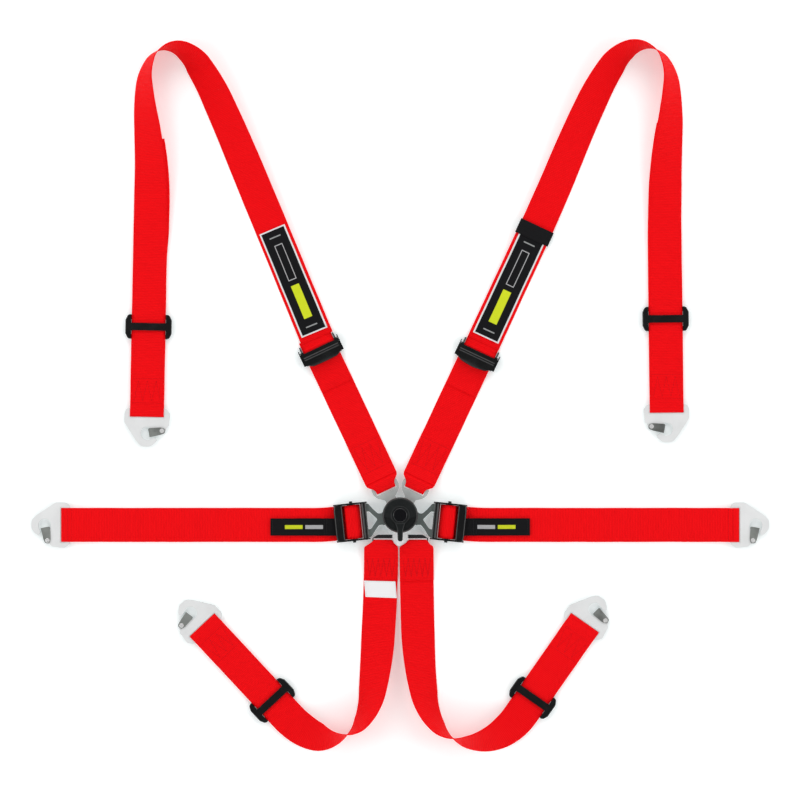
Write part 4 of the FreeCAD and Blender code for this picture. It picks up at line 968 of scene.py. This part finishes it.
def crotch_strap(side):
    """Crotch webbing: sewn back on itself at the tongue, round its bend, doubled at the hook."""
    route = "crotch_" + side
    sign = 1 if side == "right" else -1
    total = route_length(route)
    joint = total - CROTCH_UNDER[side]
    base = ((16.0, 5.2), (46.0, FLOOR_GAP), (total - 250.0, FLOOR_GAP),
            (total - 182.0, SLIDER_STRAP_Z))
    pin = joint_place("crotch_swivel")
    pin.z = 0.0
    start_x = route_point(route, 16.0)[0]

    def half(x):
        return level(((22.0, 13.5), (24.2, 15.5), (33.0, 25.0)), x)

    def centre_shift(x):
        return level(((22.0, sign * 25.5), (33.0, start_x)), x)

    thick = ((0.0, DOUBLED), (52.0, DOUBLED), (66.0, SINGLE), (joint - 30.0, SINGLE), (joint, DOUBLED))
    two_layers = ((0, DOUBLED),)
    flap = along_route(route, 52.0, 16.0, base, two_layers, ((0, LAYER),))
    fold = [(45.5, 7.45, 0), (34.0, 9.9, 6.0), (29.0, 10.9, 3.0), (22.0, 10.9, 2.2),
            (22.0, 6.1, 2.2), (31.0, 6.1, 4.0), (45.5, 5.95, 0)]
    turn = along_line(fold, pin, Vector((0, -1, 0)), Vector((1, 0, 0)), half, centre_shift)
    main = along_route(route, 16.0, total - HOOK_LOOP, base, thick,
                       ((52.0, -LAYER), (66.0, 0.0), (joint - 30.0, 0.0), (joint, -LAYER)))
    loop = hook_frames(route, SLIDER_STRAP_Z + DOUBLED, True)
    under = along_route(route, total - HOOK_LOOP, joint, base, two_layers, ((0, LAYER),))
    frames = flap + turn[1:-1] + main + loop[1:-1] + under
    piece = strip(route + "_strap", frames, webbing, "webbing_red")
    laid(piece, frames, rests_on=["floor", "crotch_tongue", route + "_hook"])
    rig.ride(piece, "crotch_arm")
    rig.replaces(piece, route + "_web")

    sewn = Stitches()
    sewn.line(flap, zigzag(5.0, 31.0, 20.5, 10), -1)
    sewn.line(flap, zigzag(8.0, 34.0, 20.5, 10), -1)
    sewn.line(flap, [(2.2, -23.0), (2.2, 23.0)], -1)
    top = hook_seams(sewn, route, base, two_layers, -LAYER, loop, (52.0, 88.0), 22.0, -1)
    sewn.line(top, zigzag(55.0, 85.0, 19.5, 6), -1)
    piece = sewn.finish(route + "_stitching", thread_red, "webbing_red")
    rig.ride(piece, "crotch_arm")

    if side == "left":
        label = along_route(route, 53.0, 77.0, base, thick, ((0, WEB / 2 + 0.3),), half=23.0)
        label = [(c + a * 0.6 * (i - 2.5), a, t, h) for i, (c, a, t, h) in enumerate(label)]
        piece = strip("crotch_left_label", label, label_cloth, None, LABEL_THICKNESS, full=23.0)
        laid(piece, label, 0.046, [route + "_strap"])
        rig.ride(piece, "crotch_arm")
        sewn = Stitches()
        sewn.line(label, border(1.4, distances(label)[-1] - 1.4, 21.6), 1, LABEL_THICKNESS, 2.0, 0.8)
        piece = sewn.finish("crotch_left_label_stitching", thread_white, None)
        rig.ride(piece, "crotch_arm")


def lap_strap(side):
    """Lap webbing: doubled all the way from its adjuster to the hook."""
    route = "lap_" + side
    total = route_length(route)
    base, thick = ((0, FLOOR_GAP),), ((0, DOUBLED),)
    main = along_route(route, -1.0, total - HOOK_LOOP, base, thick, ((0, LAYER),))
    loop = hook_frames(route, 3.0, False)
    under = along_route(route, total - HOOK_LOOP, -1.0, base, thick, ((0, -LAYER),))
    frames = main + loop[1:-1] + under
    piece = strip(route + "_strap", frames, webbing, "webbing_red")
    laid(piece, frames, rests_on=["floor", route + "_hook"])
    blend_ends = part_point(route, -1.0), part_point(route, 120.0)
    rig.blend(piece, route + "_frame", route + "_arm", *blend_ends)
    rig.replaces(piece, route + "_web")

    sewn = Stitches()
    hook_seams(sewn, route, base, thick, LAYER, loop, (92.5, 99.0), 23.0, 1)
    piece = sewn.finish(route + "_stitching", thread_red, "webbing_red")
    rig.ride(piece, route + "_arm")

    outward = body_axis(route + "_swivel", route + "_tilt")[1]
    rod = joint_place(route + "_tilt")
    middle = Vector((rod.x, rod.y, 0.0)) + outward * TAB_MIDDLE
    outward, across = route_frame(route, 60.0, False)[1:]
    tab = along_line([(39.0, 6.6, 0), (52.0, 6.6, 12.0), (62.0, 4.6, 12.0), (140.0, 4.6, 0)],
                     middle - outward * TAB_MIDDLE, outward, across, lambda x: TAB_HALF)
    piece = strip(route + "_tab", tab, pull_tape, "tape_black", TAB_THICKNESS, full=TAB_HALF)
    laid(piece, tab, 2 * TAB_HALF * MM, [route + "_strap"])
    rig.blend(piece, route + "_frame", route + "_arm", *blend_ends)
    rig.replaces(piece, route + "_pull_tab")
    sewn = Stitches()
    for mark in (18.0, 22.0, 98.0):
        sewn.line(tab, [(mark, -11.0), (mark, 11.0)], 1, TAB_THICKNESS, 1.8, 0.6)
    piece = sewn.finish(route + "_tab_stitching", thread_black, "tape_black")
    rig.blend(piece, route + "_frame", route + "_arm", *blend_ends)


def wrap(side, kind):
    """The webbing's turn round an adjuster's lock bar."""
    strap = f"{kind}_{side}"
    outward = body_axis(strap + "_swivel", strap + "_tilt")[1]
    across = UP.cross(outward)
    rod = joint_place(strap + "_tilt")
    if kind == "lap":
        zero = Vector((rod.x, rod.y, 0.0))
        points = [(46.0, 2.3, 0), (30.4, 2.3, 2.5), (28.4, 10.4, 3.0), (15.5, 10.6, 4.0),
                  (11.5, 9.0, 3.0), (7.0, 4.4, 2.0), (6.8, 2.2, 1.0), (8.5, 0.8, 1.0),
                  (46.0, 0.8, 0)]
        bend_from, bend_to = 27.0, 45.5
    else:
        zero = Vector((rod.x, rod.y, 0.0)) - outward
        points = [(28.5, 2.3, 0), (26.0, 2.3, 2.0), (21.5, 4.2, 3.0), (17.3, 8.8, 2.0),
                  (11.0, 8.8, 1.4), (9.0, 7.0, 1.0), (8.8, 3.0, 1.5), (10.6, 0.8, 1.4),
                  (31.0, 0.8, 0)]
        bend_from, bend_to = 18.0, 28.0
    frames = along_line(points, zero, outward, across, lambda x: 24.8)
    piece = strip(strap + "_wrap_strap", frames, webbing, "webbing_red")
    laid(piece, frames, rests_on=[strap + "_lock_bar"])
    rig.blend(piece, strap + "_lock", strap + "_frame", (zero + outward * bend_from) * MM,
             (zero + outward * bend_to) * MM)
    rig.replaces(piece, strap + "_wrap")


for side in SIDES:
    lower_strap(side)
    upper_strap(side)
    crotch_strap(side)
    lap_strap(side)
    wrap(side, "shoulder")
    wrap(side, "lap")
keeper()

# ------------------------------------------------------------------ floor and light


def floor():
    """A plain pale ground; its faint glow stands for the light that fills a studio's shadows."""
    s = Surface("floor_paint", (0.90, 0.90, 0.90), 0.75)
    s.set("Emission Color", (0.85, 1.0, 1.0, 1.0))
    s.set("Emission Strength", 0.24)
    s.bump(s.noise(60.0, 3.0), 0.0002)
    bm = bmesh.new()
    bmesh.ops.create_grid(bm, x_segments=1, y_segments=1, size=6.0)
    mesh = bpy.data.meshes.new("floor")
    bm.to_mesh(mesh)
    bm.free()
    mesh.materials.append(s.material)
    ground = link(bpy.data.objects.new("floor", mesh))
    ground.location = (0, 0.15, -0.0003)
    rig.stage(ground)


def area_light(name, place, target, size, power):
    """A rectangular lamp, sizes in metres and power in watts, turned towards a point."""
    data = bpy.data.lights.new(name, "AREA")
    data.shape = "RECTANGLE"
    data.size, data.size_y = size
    data.energy = power
    lamp = link(bpy.data.objects.new(name, data))
    lamp.location = place
    direction = Vector(target) - Vector(place)
    lamp.rotation_euler = direction.to_track_quat("-Z", "Y").to_euler()


floor()
area_light("top_light", (0.0, 2.3, 1.5), (0, 0.25, 0), (3.4, 1.0), 22.0)
area_light("left_light", (-2.2, 0.1, 1.5), (0, 0.15, 0), (1.0, 3.0), 15.0)
area_light("right_light", (2.2, 0.1, 1.5), (0, 0.15, 0), (1.0, 3.0), 15.0)
area_light("bottom_light", (0.0, -2.0, 1.3), (0, 0.05, 0), (3.0, 0.9), 12.0)
world = bpy.data.worlds.new("studio")
bpy.context.scene.world = world
world.use_nodes = True
sky = world.node_tree.nodes
sky["Background"].inputs["Color"].default_value = (1.0, 1.0, 1.0, 1.0)
height = sky.new("ShaderNodeSeparateXYZ")
darker = sky.new("ShaderNodeMapRange")
darker.interpolation_type = "SMOOTHSTEP"
for socket, value in ((1, 0.74), (2, 0.93), (3, 0.95), (4, 0.05)):
    darker.inputs[socket].default_value = value
world.node_tree.links.new(sky.new("ShaderNodeTexCoord").outputs["Generated"], height.inputs[0])
world.node_tree.links.new(height.outputs["Z"], darker.inputs[0])
world.node_tree.links.new(darker.outputs[0], sky["Background"].inputs["Strength"])

drawn_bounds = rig.bounds()
with open("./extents.json", "w") as size_file:
    json.dump({"cad": [list(corner) for corner in cad_bounds],
               "scene": [list(corner) for corner in drawn_bounds]}, size_file)
